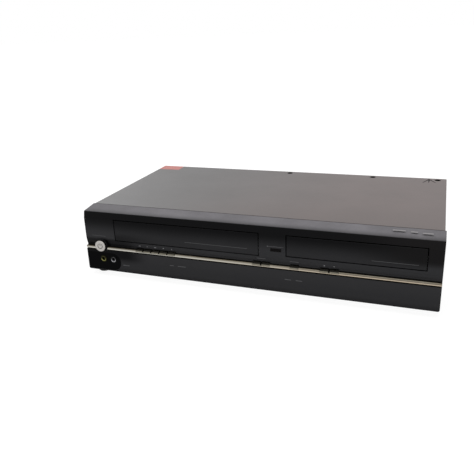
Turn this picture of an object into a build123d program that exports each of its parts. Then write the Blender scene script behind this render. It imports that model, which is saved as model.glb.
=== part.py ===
from build123d import *
import os
from math import atan2, cos, degrees, hypot, pi, radians, sin, tan

os.makedirs("parts", exist_ok=True)

# A slim home deck that plays tape cassettes on the left and discs on the right.
# Millimetres.  +X is the viewer's right, +Y the back, +Z up, and the feet stand on Z = 0.
# "Depth" is measured back from the top front edge of the front panel.

# ---- driving dimensions: the case ----
case_width = 435.0
case_height = 82.0
foot_height = 8.0
cover_depth = 236.0
button_reach = 6.5
socket_reach = 8.0
cover_inset = 1.2
sheet = 1.0
seat_gap = 0.1
part_gap = 0.4
seam_gap = 0.6
foot_radius = 8.5
foot_side_inset = 11.5
left_front_foot_depth = 16.0
right_front_foot_depth = 36.0
rear_foot_depth = 215.0
foot_plug_radius = 2.4
rear_inset = 2.0

# ---- driving dimensions: the front panel ----
left_share = 44.0
middle_share = 33.8
right_share = 16.5
panel_depth = 24.0
panel_wall = 2.5
top_slope = 3.0
top_edge_radius = 1.2
crease_drop = 12.3
crease_reach = 2.0
waist_drop = 36.0
lip_drop = 47.0
lip_overlap = 5.0
lip_thickness = 2.0
lower_reach = 1.0
skin_reach = 3.5
skin_top_drop = 53.3
stripe_top_drop = 49.1
stripe_height = 3.6
opening_gap = 0.6
door_gap = 1.1
skin_corner_radius = 2.2

# ---- driving dimensions: buttons ----
power_inset = 22.3
power_drop = 47.6
power_radius = 7.4
rim_width = 1.6
key_width = 9.4
key_height = 3.2
key_face_share = 0.53
key_pitch = 11.2
key_bottom_drop = 51.0
key_reach = 3.9
key_flange = 1.0
button_travel = 0.8
button_gap = 0.3
tape_keys_inset = 73.0
tape_key_count = 5
middle_keys_run = 115.7
single_key_run = 70.6
disc_keys_run = 36.5
finger_depth = 1.3
finger_height = 0.8

# ---- driving dimensions: jack pocket and sensor window ----
pocket_length = 49.5
pocket_height = 24.0
pocket_sill = 1.0
pocket_inset = 0.9
skin_thickness = 2.4
video_jack_inset = 23.7
jack_pitch = 14.8
jack_z = 24.2
jack_radius = 4.7
jack_bore = 3.2
window_inset = 21.3
window_z = 59.4
window_width = 13.0
window_height = 4.2

# ---- driving dimensions: cassette deck ----
cassette_width = 187.0
cassette_height = 25.0
cassette_bottom = 51.0
door_width = 190.7
door_height = 26.7
door_thickness = 2.5
hinge_depth = 1.0
hinge_rise = 1.7
hinge_radius = 1.3
hinge_pin_radius = 0.9
hinge_pin_length = 2.5
running_gap = 0.05
holder_depth = 31.0
holder_length = 60.0
holder_side_gap = 1.25
ledge_width = 18.0
load_travel = 68.0
drop_travel = 24.0
guide_pin_radius = 2.0
plate_z = 24.0
plate_thickness = 1.2
plate_half_width = 104.0
plate_front = 60.0
plate_rear = 228.0
drum_depth = 193.0
drum_radius = 31.0
lower_drum_height = 12.8
upper_drum_height = 12.0
reel_offset = 46.5
reel_depth = 105.0
reel_teeth = 48
reel_module = 0.8
capstan_offset = 56.0
capstan_depth = 164.0
capstan_radius = 2.0
flywheel_radius = 26.0
flywheel_thickness = 6.0
pinch_pivot_offset = 80.0
pinch_pivot_depth = 182.0
roller_radius = 7.0
pinch_swing = 18.0
guide_start = (39.0, 150.0)
guide_end = (43.0, 184.0)
slot_width = 4.1
cam_offset = -84.0
cam_depth = 196.0
cam_teeth = 30
cam_module = 0.9
worm_radius = 4.0

# ---- driving dimensions: disc loader ----
loader_half_width = 73.0
loader_front = 10.0
loader_length = 180.0
loader_z = 44.0
rail_height = 28.0
rail_width = 7.0
tray_front_width = 150.0
tray_front_height = 24.2
tray_front_thickness = 3.0
tray_half_width = 64.5
tray_length = 165.0
tray_z = 58.0
tray_height = 7.5
tray_floor_rise = 2.0
tray_floor = 2.5
disc_radius = 60.0
disc_centre_depth = 80.0
tray_travel = 140.0
tray_gap = 0.5
gear_teeth = 20
gear_module = 1.0
gear_depth = 22.0
tray_rack_inset = 3.5
traverse_half_width = 42.0
traverse_front = 52.0
traverse_rear = 166.0
traverse_z = 47.5
traverse_thickness = 2.5
pivot_depth = 168.0
pivot_radius = 2.0
motor_radius = 13.0
turntable_radius = 15.0
sled_start = 108.0
sled_travel = 32.0
rod_offset = 24.0
rod_radius = 1.5
clamper_radius = 16.0
clamper_neck = 8.6

# ---- driving dimensions: boards and rear sockets ----
board_thickness = 1.6
board_z = 15.0
board_half_width = 60.0
front_board_depth = 7.0
rear_socket_pitch = 14.0
rear_jack_run = 69.0
rear_jack_z = 32.0
rear_jack_columns = 4
rear_jack_rows = 2
rear_jack_radius = 4.2
rf_socket_radius = 4.7
rf_z = 42.0
rf_pitch = 20.0
gland_inset = 27.5
gland_z = 30.0
gland_radius = 5.0

# ---- places worked out from the dimensions ----
front_y = (button_reach - cover_depth - socket_reach) / 2
base_z = foot_height
top_z = foot_height + case_height
half_width = case_width / 2
cover_half = half_width - cover_inset
# the width that the two doors leave is shared out as three margins
spare_width = case_width - door_width - tray_front_width
margin_scale = spare_width / (left_share + middle_share + right_share)
door_left = left_share * margin_scale - half_width
door_right = door_left + door_width
deck_x = door_left + door_width / 2
loader_x = half_width - right_share * margin_scale - tray_front_width / 2
power_x = power_inset * margin_scale - half_width
tape_keys_x = tape_keys_inset - half_width
middle_keys_x = loader_x - middle_keys_run
single_key_x = loader_x - single_key_run
disc_keys_x = loader_x - disc_keys_run
pocket_right = pocket_length - half_width
video_jack_x = video_jack_inset - half_width
window_x = door_right + window_inset * margin_scale
window_half = window_width * margin_scale / 2
rear_jack_x = loader_x - rear_jack_run
rf_x = loader_x
gland_x = half_width - gland_inset
shell_half = cover_half - sheet - seat_gap
inner_half = half_width - panel_wall
crease_z = top_z - crease_drop
skin_top = top_z - skin_top_drop
stripe_top = top_z - stripe_top_drop
stripe_bottom = stripe_top - stripe_height
rear_panel_depth = cover_depth - rear_inset
floor_top = base_z + sheet
sheet_under_top = top_z - sheet - seat_gap


# Row Y of a depth behind the front edge.
def back(depth):
    return front_y + depth


# An upright plane across the case at a depth; extrude by a negative amount to go back.
def upright(depth):
    return Plane.XZ.offset(-back(depth))


# A box between pairs of (low, high) values of X, depth and Z.
def block(x, depth, z, mode=Mode.ADD):
    with Locations(((x[0] + x[1]) / 2, back((depth[0] + depth[1]) / 2), (z[0] + z[1]) / 2)):
        Box(x[1] - x[0], depth[1] - depth[0], z[1] - z[0], mode=mode)


# A standing cylinder between two heights.
def post(x, depth, z, radius, mode=Mode.ADD):
    with Locations((x, back(depth), (z[0] + z[1]) / 2)):
        Cylinder(radius, z[1] - z[0], mode=mode)


# A cylinder lying along X.
def cross_bar(x, depth, z, radius, mode=Mode.ADD):
    with Locations(((x[0] + x[1]) / 2, back(depth), z)):
        Cylinder(radius, x[1] - x[0], rotation=(0, 90, 0), mode=mode)


# A cylinder lying along Y.
def rod(x, depth, z, radius, mode=Mode.ADD):
    with Locations((x, back((depth[0] + depth[1]) / 2), z)):
        Cylinder(radius, depth[1] - depth[0], rotation=(90, 0, 0), mode=mode)


# The pair of values at each side of a middle.
def around(middle, half):
    return (middle - half, middle + half)


# A straight-flanked gear outline with a bore, its first tooth towards +X.
def gear_outline(teeth, module, bore):
    pitch_radius = teeth * module / 2
    tooth_height = 2.1 * module
    tooth_base = 0.4 * pi * module + 2 * module * tan(radians(20))
    with BuildSketch() as outline:
        Circle(pitch_radius - 1.1 * module)
        with PolarLocations(pitch_radius - 0.15 * module, teeth):
            Trapezoid(tooth_base, tooth_height, 70, rotation=-90)
        Circle(bore, mode=Mode.SUBTRACT)
    return outline.sketch


# Name a finished piece and write it.
def keep(part, name):
    part.label = name
    export_step(part, "parts/" + name + ".step")


# ---- the case ----

# The steel pan under everything, with side flanges, hinged posts and board posts.
plate_posts = [(side * 92.0, depth) for side in (-1, 1) for depth in (70.0, 222.0)]
loader_ear = loader_half_width - rail_width / 2
loader_posts = [(side * loader_ear, depth) for side in (-1, 1) for depth in (34.0, 180.0)]
board_posts = [(side * 52.0, depth) for side in (-1, 1) for depth in (38.0, 106.0, 128.0, 206.0)]
pan_front = panel_wall + part_gap
pan_rear = rear_panel_depth - seat_gap
foot_x = half_width - foot_side_inset
feet_places = [(-foot_x, left_front_foot_depth), (foot_x, right_front_foot_depth)]
feet_places += [(side * foot_x, rear_foot_depth) for side in (-1, 1)]
pan_half = inner_half - seat_gap
flange_height = 14.0
cover_front = panel_depth + seam_gap
top_hole_radius = 3.5
top_hole_depth = 228.0
top_holes_x = (-3.0, loader_x - 8.0, half_width - 12.8)
cover_screw_depths = (60.0, 200.0)
cover_screw_z = base_z + 8.0
screw_radius = 1.5
screw_head = 3.2
vent_width = 2.4
flange_front = panel_depth + lip_overlap + 1.0

with BuildPart() as bottom_chassis:
    block((-pan_half, pan_half), (pan_front, pan_rear), (base_z, floor_top))
    for side in (-1, 1):
        flange = sorted((side * (pan_half - sheet), side * pan_half))
        block(flange, (flange_front, pan_rear), (base_z, base_z + flange_height))
    for x, depth in plate_posts:
        post(deck_x + x, depth, (base_z, plate_z), 4.0)
    for x, depth in loader_posts:
        post(loader_x + x, depth, (base_z, loader_z), 3.0)
    for x, depth in board_posts:
        post(loader_x + x, depth, (base_z, board_z), 3.0)
    for x, depth in feet_places:
        post(x, depth, (base_z - 1, floor_top + 1), foot_plug_radius + running_gap, Mode.SUBTRACT)
    for depth in cover_screw_depths:
        cross_bar((-half_width, half_width), depth, cover_screw_z, screw_radius + running_gap,
                  Mode.SUBTRACT)
    # rows of slots that let air in under the power board
    with Locations((loader_x, back(174), base_z + sheet / 2)):
        with GridLocations(12.0, 24.0, 6, 2):
            Box(3.0, 18.0, 3 * sheet, mode=Mode.SUBTRACT)
keep(bottom_chassis.part, "bottom_chassis")

# Four moulded feet, each with a plug through the pan.
with BuildPart() as feet:
    for x, depth in feet_places:
        with Locations((x, back(depth), foot_height / 2)):
            Cylinder(foot_radius, foot_height)
    rims = feet.edges().filter_by(GeomType.CIRCLE).group_by(Axis.Z)[0]
    chamfer(rims, 1.0)
    for x, depth in feet_places:
        post(x, depth, (foot_height, floor_top + 1.5), foot_plug_radius)
keep(feet.part, "feet")

# The painted steel lid: top and two sides, with three holes near its rear edge.

with BuildPart() as top_cover:
    block((-cover_half, cover_half), (cover_front, cover_depth), (base_z, top_z))
    block((-cover_half + sheet, cover_half - sheet), (cover_front - 1, cover_depth + 1),
          (base_z - 1, top_z - sheet), Mode.SUBTRACT)
    fillet(top_cover.edges().filter_by(Axis.Y).group_by(Axis.Z)[-1], 0.9)
    for x in top_holes_x:
        post(x, top_hole_depth, (top_z - 2 * sheet, top_z + 1), top_hole_radius, Mode.SUBTRACT)
    for depth in cover_screw_depths:
        cross_bar((-half_width, half_width), depth, cover_screw_z, screw_radius + 0.2, Mode.SUBTRACT)
    # air slots low in both sides
    with Locations((0, back(130), base_z + 30.0)):
        with GridLocations(1.0, 7.0, 1, 9):
            Box(case_width, vent_width, 16.0, mode=Mode.SUBTRACT)
keep(top_cover.part, "top_cover")

# Four pan-head screws that hold the lid to the pan's flanges.
with BuildPart() as cover_screws:
    for depth in cover_screw_depths:
        for side in (-1, 1):
            stem = sorted((side * (pan_half - 6.0), side * cover_half))
            head = sorted((side * cover_half, side * (half_width - seat_gap)))
            cross_bar(stem, depth, cover_screw_z, screw_radius)
            cross_bar(head, depth, cover_screw_z, screw_head)
keep(cover_screws.part, "cover_screws")

# ---- the front panel and its trim ----

door_x = (door_left, door_right)
door_z = (crease_z - door_height, crease_z)
hinge_z = crease_z + hinge_rise
tray_front_x = around(loader_x, tray_front_width / 2)
tray_front_z = (crease_z - tray_front_height, crease_z)
power_z = top_z - power_drop
rim_radius = power_radius + part_gap + rim_width
key_z = (top_z - key_bottom_drop, top_z - key_bottom_drop + key_height)
key_xs = [tape_keys_x + i * key_pitch for i in range(tape_key_count)]
key_xs += [middle_keys_x, middle_keys_x + key_pitch, single_key_x]
key_xs += [disc_keys_x, disc_keys_x + key_pitch]
key_groups = [
    (key_xs[0], key_xs[tape_key_count - 1] + key_width),
    (key_xs[5], key_xs[6] + key_width),
    (key_xs[7], key_xs[7] + key_width),
    (key_xs[8], key_xs[9] + key_width),
]
slot_z = (key_z[0] - part_gap, key_z[1] + part_gap)
pocket_z = (base_z + pocket_sill, base_z + pocket_sill + pocket_height)
pocket_radius = pocket_height / 2
pocket_left = pocket_sill - half_width
jack_xs = (video_jack_x, video_jack_x + jack_pitch)
boss_xs = (tape_keys_x - 15.5, deck_x + 18.15, loader_x - 80.0, loader_x - 14.0)
boss_z = 34.0
boss_radius = 3.0


# A pair widened by the same gap at both ends.
def wider(pair, gap):
    return (pair[0] - gap, pair[1] + gap)


# The moulded front: a hollow shell open to the back, with an opening for each door and button.
with BuildPart() as front_panel:
    with BuildSketch(Plane.YZ.offset(-half_width)) as side_view:
        with BuildLine():
            Polyline(
                (back(0), stripe_bottom - opening_gap),
                (back(-lower_reach), stripe_bottom - opening_gap),
                (back(-lower_reach), base_z),
                (back(panel_depth), base_z),
                (back(panel_depth), top_z),
                (back(0), top_z - top_slope),
                (back(-crease_reach), crease_z),
                (back(-crease_reach), top_z - waist_drop),
            )
            TangentArc((back(-crease_reach), top_z - waist_drop), (back(0), top_z - lip_drop),
                       tangent=(0, -1))
            Line((back(0), top_z - lip_drop), (back(0), stripe_bottom - opening_gap))
        make_face()
        top_edge = side_view.vertices().sort_by_distance((back(0), top_z - top_slope))[0]
        fillet(top_edge, top_edge_radius)
    extrude(amount=case_width)
    with BuildSketch(Plane.YZ.offset(-inner_half)):
        slope_at_wall = top_slope * (1 - panel_wall / panel_depth)
        with BuildLine():
            Polyline(
                (back(panel_wall), base_z - 1),
                (back(panel_depth + 1), base_z - 1),
                (back(panel_depth + 1), top_z - panel_wall),
                (back(panel_wall), top_z - panel_wall - slope_at_wall),
                close=True,
            )
        make_face()
    extrude(amount=2 * inner_half, mode=Mode.SUBTRACT)
    # a tongue that runs under the lid's front edge
    tongue = (panel_depth - 4.0, panel_depth + lip_overlap)
    block((-shell_half, shell_half), tongue, (sheet_under_top - lip_thickness, sheet_under_top))
    for side in (-1, 1):
        cheek = sorted((side * (shell_half - lip_thickness), side * shell_half))
        block(cheek, tongue, (floor_top + part_gap, sheet_under_top))
    # the cassette door's opening, the pocket behind its hinge and the two pin holes
    door_cut = (-skin_reach, panel_wall + 1)
    block(wider(door_x, door_gap), door_cut, wider(door_z, door_gap), Mode.SUBTRACT)
    block(wider(door_x, door_gap), (hinge_depth - hinge_radius - 0.3, panel_wall + 1),
          (crease_z, hinge_z + hinge_radius + part_gap), Mode.SUBTRACT)
    cross_bar(wider(door_x, hinge_pin_length + part_gap), hinge_depth, hinge_z,
              hinge_pin_radius + running_gap, Mode.SUBTRACT)
    # the disc tray's opening
    block(wider(tray_front_x, door_gap), door_cut, wider(tray_front_z, door_gap),
          Mode.SUBTRACT)
    # key slots, each group under a dark finger recess
    for x in key_xs:
        block((x - 0.3, x + key_width + 0.3), (-1, panel_wall + 1), slot_z, Mode.SUBTRACT)
    for group in key_groups:
        block(wider(group, part_gap), (-crease_reach - 1, finger_depth),
              (slot_z[0], slot_z[1] + finger_height), Mode.SUBTRACT)
    # the raised rim round the power button, and the button's bore
    rod(power_x, (-skin_reach, panel_wall), power_z, rim_radius)
    rod(power_x, (-skin_reach - 1, panel_wall + 1), power_z, power_radius + part_gap,
        Mode.SUBTRACT)
    # the sensor window's recess and sight hole
    block(around(window_x, window_half), (-crease_reach - 1, -crease_reach + 1.8),
          around(window_z, window_height / 2), Mode.SUBTRACT)
    block(around(window_x, 0.6 * window_half), (-crease_reach, panel_wall + 1),
          around(window_z, 1.2), Mode.SUBTRACT)
    for x in jack_xs:
        rod(x, (-skin_reach, panel_wall + 1), jack_z, jack_radius + part_gap, Mode.SUBTRACT)
    # bosses that the key board is screwed to
    for x in boss_xs:
        rod(x, (panel_wall - 1, front_board_depth), boss_z, boss_radius)
keep(front_panel.part, "front_panel")

# The light metallic stripe, notched round the keys and parted by the power button's rim.
stripe_reach = (-skin_reach, 0)

with BuildPart() as trim_stripe:
    block((-half_width, half_width), stripe_reach, (stripe_bottom, stripe_top))
    chamfer(trim_stripe.edges().filter_by(Axis.X).group_by(Axis.Y)[0], 0.7)
    for group in key_groups:
        block(wider(group, part_gap), (-skin_reach - 1, 1), (slot_z[0], top_z), Mode.SUBTRACT)
    rod(power_x, (-skin_reach - 1, 1), power_z, rim_radius + seat_gap, Mode.SUBTRACT)
keep(trim_stripe.part, "trim_stripe")

# The satin lower panel, cut away at its left for the jack pocket.
skin_depth = (-skin_reach, -skin_reach + skin_thickness)
with BuildPart() as lower_panel:
    block((-half_width, half_width), skin_depth, (base_z, skin_top))
    fillet(lower_panel.edges().filter_by(Axis.Y).group_by(Axis.Z)[0], skin_corner_radius)
    block((pocket_left, pocket_right - pocket_radius), wider(skin_depth, 1), pocket_z,
          Mode.SUBTRACT)
    rod(pocket_right - pocket_radius, wider(skin_depth, 1), sum(pocket_z) / 2, pocket_radius,
        Mode.SUBTRACT)
    rod(power_x, wider(skin_depth, 1), power_z, rim_radius + seat_gap, Mode.SUBTRACT)
keep(lower_panel.part, "lower_panel")

# The glossy insert in the pocket, with a round opening for each jack.
with BuildPart() as jack_pocket:
    insert_depth = (-skin_reach + pocket_inset, -lower_reach - seat_gap)
    insert_radius = pocket_radius - seat_gap
    block((pocket_left + seat_gap, pocket_right - pocket_radius), insert_depth,
          wider(pocket_z, -seat_gap))
    rod(pocket_right - pocket_radius, insert_depth, sum(pocket_z) / 2, insert_radius)
    rod(power_x, wider(insert_depth, 1), power_z, rim_radius + seat_gap, Mode.SUBTRACT)
    for x in jack_xs:
        rod(x, wider(insert_depth, 1), jack_z, jack_radius + seat_gap, Mode.SUBTRACT)
keep(jack_pocket.part, "jack_pocket")


# A panel jack: a coloured collar round a metal-lined socket, on a body behind the panel.
def make_jack(x):
    with BuildPart() as jack:
        rod(x, (-skin_reach, front_board_depth - seat_gap), jack_z, jack_radius)
        fillet(jack.edges().filter_by(GeomType.CIRCLE).group_by(Axis.Y)[0], 0.5)
        rod(x, (-skin_reach - 1, front_board_depth - 3.0), jack_z, jack_bore, Mode.SUBTRACT)
        rod(x, (-1.0, front_board_depth - 2.5), jack_z, 1.0)
    return jack.part


video_jack = make_jack(jack_xs[0])
keep(video_jack, "video_jack")
audio_jack = make_jack(jack_xs[1])
keep(audio_jack, "audio_jack")

# The dark window over the remote sensor.
with BuildPart() as sensor_window:
    block(around(window_x, window_half - seat_gap),
          (-crease_reach + 0.4, -crease_reach + 1.8),
          around(window_z, window_height / 2 - seat_gap))
    chamfer(sensor_window.faces().sort_by(Axis.Y)[0].edges(), 0.25)
keep(sensor_window.part, "sensor_window")

# ---- buttons ----

flange_depth = (panel_wall + button_gap, panel_wall + button_gap + key_flange)

# The round power button: a dished disc on a plunger, held by a flange behind the panel.
with BuildPart() as power_button:
    rod(power_x, (-button_reach, panel_wall), power_z, power_radius)
    fillet(power_button.edges().filter_by(GeomType.CIRCLE).group_by(Axis.Y)[0], 0.8)
    with Locations((power_x, back(-button_reach - 38.0), power_z)):
        Sphere(38.4, mode=Mode.SUBTRACT)
    rod(power_x, (0, flange_depth[0] + 0.1), power_z, power_radius - 1.0)
    rod(power_x, flange_depth, power_z, power_radius + 1.2)
keep(power_button.part, "power_button")


# One front key: a wedge whose upper half slopes back, on a plunger with a flange.
def make_key(x):
    low, high = key_z
    with BuildPart() as key:
        with BuildSketch(Plane.YZ.offset(x)) as wedge:
            with BuildLine():
                Polyline(
                    (back(-key_reach), low),
                    (back(flange_depth[0]), low),
                    (back(flange_depth[0]), high),
                    (back(-0.6), high),
                    (back(-key_reach), low + key_height * key_face_share),
                    close=True,
                )
            make_face()
            fillet(wedge.vertices().group_by(Axis.X)[0], 0.4)
        extrude(amount=key_width)
        block((x - 0.2, x + key_width + 0.2), flange_depth, wider(key_z, 1.3))
    return key.part


tape_keys = [make_key(x) for x in key_xs[:tape_key_count]]
for number, key in enumerate(tape_keys, 1):
    keep(key, f"tape_key_{number}")
middle_keys = [make_key(x) for x in key_xs[5:7]]
for number, key in enumerate(middle_keys, 1):
    keep(key, f"middle_key_{number}")
single_key = make_key(key_xs[7])
keep(single_key, "single_key")
disc_keys = [make_key(x) for x in key_xs[8:]]
for number, key in enumerate(disc_keys, 1):
    keep(key, f"disc_key_{number}")

# The key board behind the front panel, with one small switch behind each key.
board_depth = (front_board_depth, front_board_depth + board_thickness)
switch_height = front_board_depth - flange_depth[1] - button_travel - 0.1
switch_places = [(x + key_width / 2, sum(key_z) / 2) for x in key_xs] + [(power_x, power_z)]

with BuildPart() as front_board:
    block((-half_width + 6.0, boss_xs[-1] + 8.0), board_depth, (key_z[0] - 8.5, door_z[0] - 2.0))
    block((-half_width + 6.0, jack_xs[1] + 12.0), board_depth, (floor_top + 2.0, key_z[0] - 8.0))
    for x, z in switch_places:
        block(around(x, 3.0), (front_board_depth - 1.0, front_board_depth), around(z, 3.0))
        rod(x, (front_board_depth - switch_height, front_board_depth - 0.9), z, 1.7)
    for x in boss_xs:
        rod(x, (front_board_depth - 1, front_board_depth + 3), boss_z, 1.2, Mode.SUBTRACT)
keep(front_board.part, "front_board")

# ---- the cassette deck ----

cassette_half = cassette_width / 2
holder_half = cassette_half + holder_side_gap + sheet
carriage_half = holder_half + part_gap + plate_thickness
bracket_half = carriage_half + part_gap + plate_thickness
plate_top = plate_z + plate_thickness
ledge_z = (cassette_bottom - 0.2 - sheet, cassette_bottom - 0.2)
roof_z = (cassette_bottom + cassette_height + 2.2, cassette_bottom + cassette_height + 3.2)
holder_pin_z = roof_z[0] - 4.2
holder_rear = holder_depth + holder_length
holder_pin_depths = (holder_depth + 10.0, holder_rear - 10.0)
carriage_pin_z = roof_z[0] + 0.3
carriage_pin_depths = (holder_depth + 20.0, holder_rear - 20.0)
carriage_roof_z = (roof_z[1] + 1.6, roof_z[1] + 1.6 + plate_thickness)

# The cassette door: a flap with a barrel along its top, turning on two stub pins.
with BuildPart() as cassette_door:
    block(door_x, (-crease_reach - 0.2, -crease_reach - 0.2 + door_thickness), door_z)
    chamfer(cassette_door.faces().sort_by(Axis.Y)[0].edges(), 0.3)
    web_depth = (-crease_reach - 0.4 + door_thickness, hinge_depth + 0.8)
    block(door_x, web_depth, (door_z[1] - 8.0, hinge_z))
    cross_bar(door_x, hinge_depth, hinge_z, hinge_radius)
    cross_bar(wider(door_x, hinge_pin_length), hinge_depth, hinge_z, hinge_pin_radius)
keep(cassette_door.part, "cassette_door")

# The holder that grips the cassette: a roof, two sides and a ledge along each side.
with BuildPart() as cassette_holder:
    block(around(deck_x, holder_half), (holder_depth, holder_rear), (ledge_z[0], roof_z[1]))
    inside = holder_half - sheet
    block(around(deck_x, inside), (holder_depth - 1, holder_rear + 1), (ledge_z[1], roof_z[0]),
          Mode.SUBTRACT)
    block(around(deck_x, inside - ledge_width), (holder_depth - 1, holder_rear + 1),
          (ledge_z[0] - 1, roof_z[0]), Mode.SUBTRACT)
    with Locations((deck_x, back(holder_depth + holder_length / 2), roof_z[1])):
        with GridLocations(60.0, 1.0, 3, 1):
            Box(44.0, holder_length - 24.0, 3 * sheet, mode=Mode.SUBTRACT)
    fillet(cassette_holder.edges().filter_by(Axis.Z).filter_by(
        lambda edge: edge.length < 3 * sheet), 3.0)
    for side in (-1, 1):
        stem = sorted((deck_x + side * (holder_half - 0.2), deck_x + side * carriage_half))
        for depth in holder_pin_depths:
            cross_bar(stem, depth, holder_pin_z, guide_pin_radius)
keep(cassette_holder.part, "cassette_holder")

# The carriage that carries the holder in: two slotted cheeks joined by a bar above the holder.
cheek_z = (holder_pin_z - drop_travel - 5.0, carriage_roof_z[1])
with BuildPart() as holder_carriage:
    for side in (-1, 1):
        cheek = sorted((deck_x + side * (carriage_half - plate_thickness),
                        deck_x + side * carriage_half))
        block(cheek, (holder_depth, holder_rear), cheek_z)
        stem = sorted((deck_x + side * (carriage_half - 0.2), deck_x + side * bracket_half))
        for depth in carriage_pin_depths:
            cross_bar(stem, depth, carriage_pin_z, guide_pin_radius)
        for depth in holder_pin_depths:
            slot_half = guide_pin_radius + running_gap
            block(wider(cheek, 0.1), around(depth, slot_half),
                  (holder_pin_z - drop_travel, holder_pin_z), Mode.SUBTRACT)
            for z in (holder_pin_z - drop_travel, holder_pin_z):
                cross_bar(wider(cheek, 0.1), depth, z, slot_half, Mode.SUBTRACT)
    block(around(deck_x, carriage_half), (holder_rear - 14.0, holder_rear), carriage_roof_z)
keep(holder_carriage.part, "holder_carriage")

# The two upright brackets whose level slots guide the carriage.
bracket_front = 28.0
bracket_rear = holder_rear + load_travel + 8.0
with BuildPart() as holder_brackets:
    for side in (-1, 1):
        wall = sorted((deck_x + side * (bracket_half - plate_thickness),
                       deck_x + side * bracket_half))
        foot = sorted((deck_x + side * (bracket_half - plate_thickness),
                       deck_x + side * plate_half_width))
        block(wall, (bracket_front, bracket_rear), (plate_top, carriage_roof_z[1] + 1.0))
        block(foot, (plate_front + 2.0, bracket_rear), (plate_top, plate_top + plate_thickness))
        slot = (carriage_pin_depths[0], carriage_pin_depths[1] + load_travel)
        slot_half = guide_pin_radius + running_gap
        block(wider(wall, 0.1), slot, around(carriage_pin_z, slot_half), Mode.SUBTRACT)
        for depth in slot:
            cross_bar(wider(wall, 0.1), depth, carriage_pin_z, slot_half, Mode.SUBTRACT)
        with Locations((sum(wall) / 2, back(bracket_front + 60.0), plate_top + 22.0)):
            with GridLocations(1.0, 40.0, 1, 3):
                Box(3 * plate_thickness, 26.0, 22.0, mode=Mode.SUBTRACT)
keep(holder_brackets.part, "holder_brackets")

# The steel deck plate, with the posts for reels, capstan and pinch arm, and two guide slots.
bearing_radius = 5.0
reel_post_radius = 2.0
guide_travel = hypot(guide_end[0] - guide_start[0], guide_end[1] - guide_start[1])
guide_lean = degrees(atan2(guide_end[0] - guide_start[0], guide_end[1] - guide_start[1]))
cam_place = (deck_x + cam_offset, cam_depth)
pinch_place = (deck_x + pinch_pivot_offset, pinch_pivot_depth)
capstan_place = (deck_x + capstan_offset, capstan_depth)
reel_places = [(deck_x + side * reel_offset, reel_depth) for side in (-1, 1)]
reel_z = (plate_top + 1.0, plate_top + 5.0)
reel_hub_top = plate_top + 15.0

with BuildPart() as deck_plate:
    block(around(deck_x, plate_half_width), (plate_front, plate_rear), (plate_z, plate_top))
    fillet(deck_plate.edges().filter_by(Axis.Z), 4.0)
    for x, depth in reel_places:
        post(x, depth, (plate_z, reel_hub_top + 1.5), reel_post_radius)
        post(x, depth, (plate_z, reel_z[0] - 0.2), 4.0)
    post(*pinch_place, (plate_z, plate_top + 11.0), reel_post_radius)
    post(*pinch_place, (plate_z, plate_top + 4.5), 4.0)
    post(*cam_place, (plate_z, plate_top + 8.0), reel_post_radius)
    post(*cam_place, (plate_z, plate_top + 1.8), 4.0)
    post(*capstan_place, (plate_z - 3.0, plate_top + 4.0), bearing_radius)
    post(*capstan_place, (plate_z - 4.0, plate_top + 5.0), capstan_radius + running_gap,
         Mode.SUBTRACT)
    for side in (-1, 1):
        start = (deck_x + side * guide_start[0], back(guide_start[1]))
        end = (deck_x + side * guide_end[0], back(guide_end[1]))
        with BuildSketch(Plane.XY.offset(plate_z - 1)):
            with Locations(((start[0] + end[0]) / 2, (start[1] + end[1]) / 2)):
                SlotCenterToCenter(guide_travel, slot_width,
                                   rotation=90 - side * guide_lean)
        extrude(amount=4.0, mode=Mode.SUBTRACT)
keep(deck_plate.part, "deck_plate")

# The fixed lower half of the head drum, with a bore for the spindle.
spindle_radius = 3.0
drum_split = plate_top + lower_drum_height
with BuildPart() as lower_drum:
    post(deck_x, drum_depth, (plate_top, drum_split), drum_radius)
    post(deck_x, drum_depth, (plate_top + 4.0, drum_split - 3.0), drum_radius + 1.2)
    post(deck_x, drum_depth, (plate_top - 1, drum_split + 1), spindle_radius + running_gap,
         Mode.SUBTRACT)
    post(deck_x, drum_depth, (drum_split - 4.0, drum_split + 1), drum_radius - 6.0,
         Mode.SUBTRACT)
keep(lower_drum.part, "lower_drum")

# The spinning upper half, with its spindle and four head windows in the lower rim.
with BuildPart() as upper_drum:
    drum_z = (drum_split + 0.3, drum_split + 0.3 + upper_drum_height)
    post(deck_x, drum_depth, drum_z, drum_radius)
    post(deck_x, drum_depth, (drum_z[1] - 2.0, drum_z[1] + 1), drum_radius - 7.0, Mode.SUBTRACT)
    post(deck_x, drum_depth, (drum_z[1] - 3.0, drum_z[1] + 1.5), 8.0)
    post(deck_x, drum_depth, (plate_top + 0.5, drum_z[1]), spindle_radius)
    with Locations((deck_x, back(drum_depth), drum_z[0])):
        with PolarLocations(drum_radius, 4):
            Box(4.0, 5.0, 5.0, mode=Mode.SUBTRACT)
    chamfer(upper_drum.edges().filter_by(GeomType.CIRCLE).sort_by(SortBy.RADIUS)[-1], 0.4)
keep(upper_drum.part, "upper_drum")

# The capstan: a flywheel under the plate and a thin shaft up through the bearing.
flywheel_z = (floor_top + 5.0, floor_top + 5.0 + flywheel_thickness)
with BuildPart() as capstan:
    post(*capstan_place, flywheel_z, flywheel_radius)
    post(*capstan_place, (flywheel_z[0] + 2.0, flywheel_z[1] + 1), flywheel_radius - 4.0,
         Mode.SUBTRACT)
    post(*capstan_place, (flywheel_z[0], flywheel_z[1] - 0.5), 6.0)
    post(*capstan_place, (flywheel_z[0] - 0.3, plate_top + 24.0), capstan_radius)
keep(capstan.part, "capstan")

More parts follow.
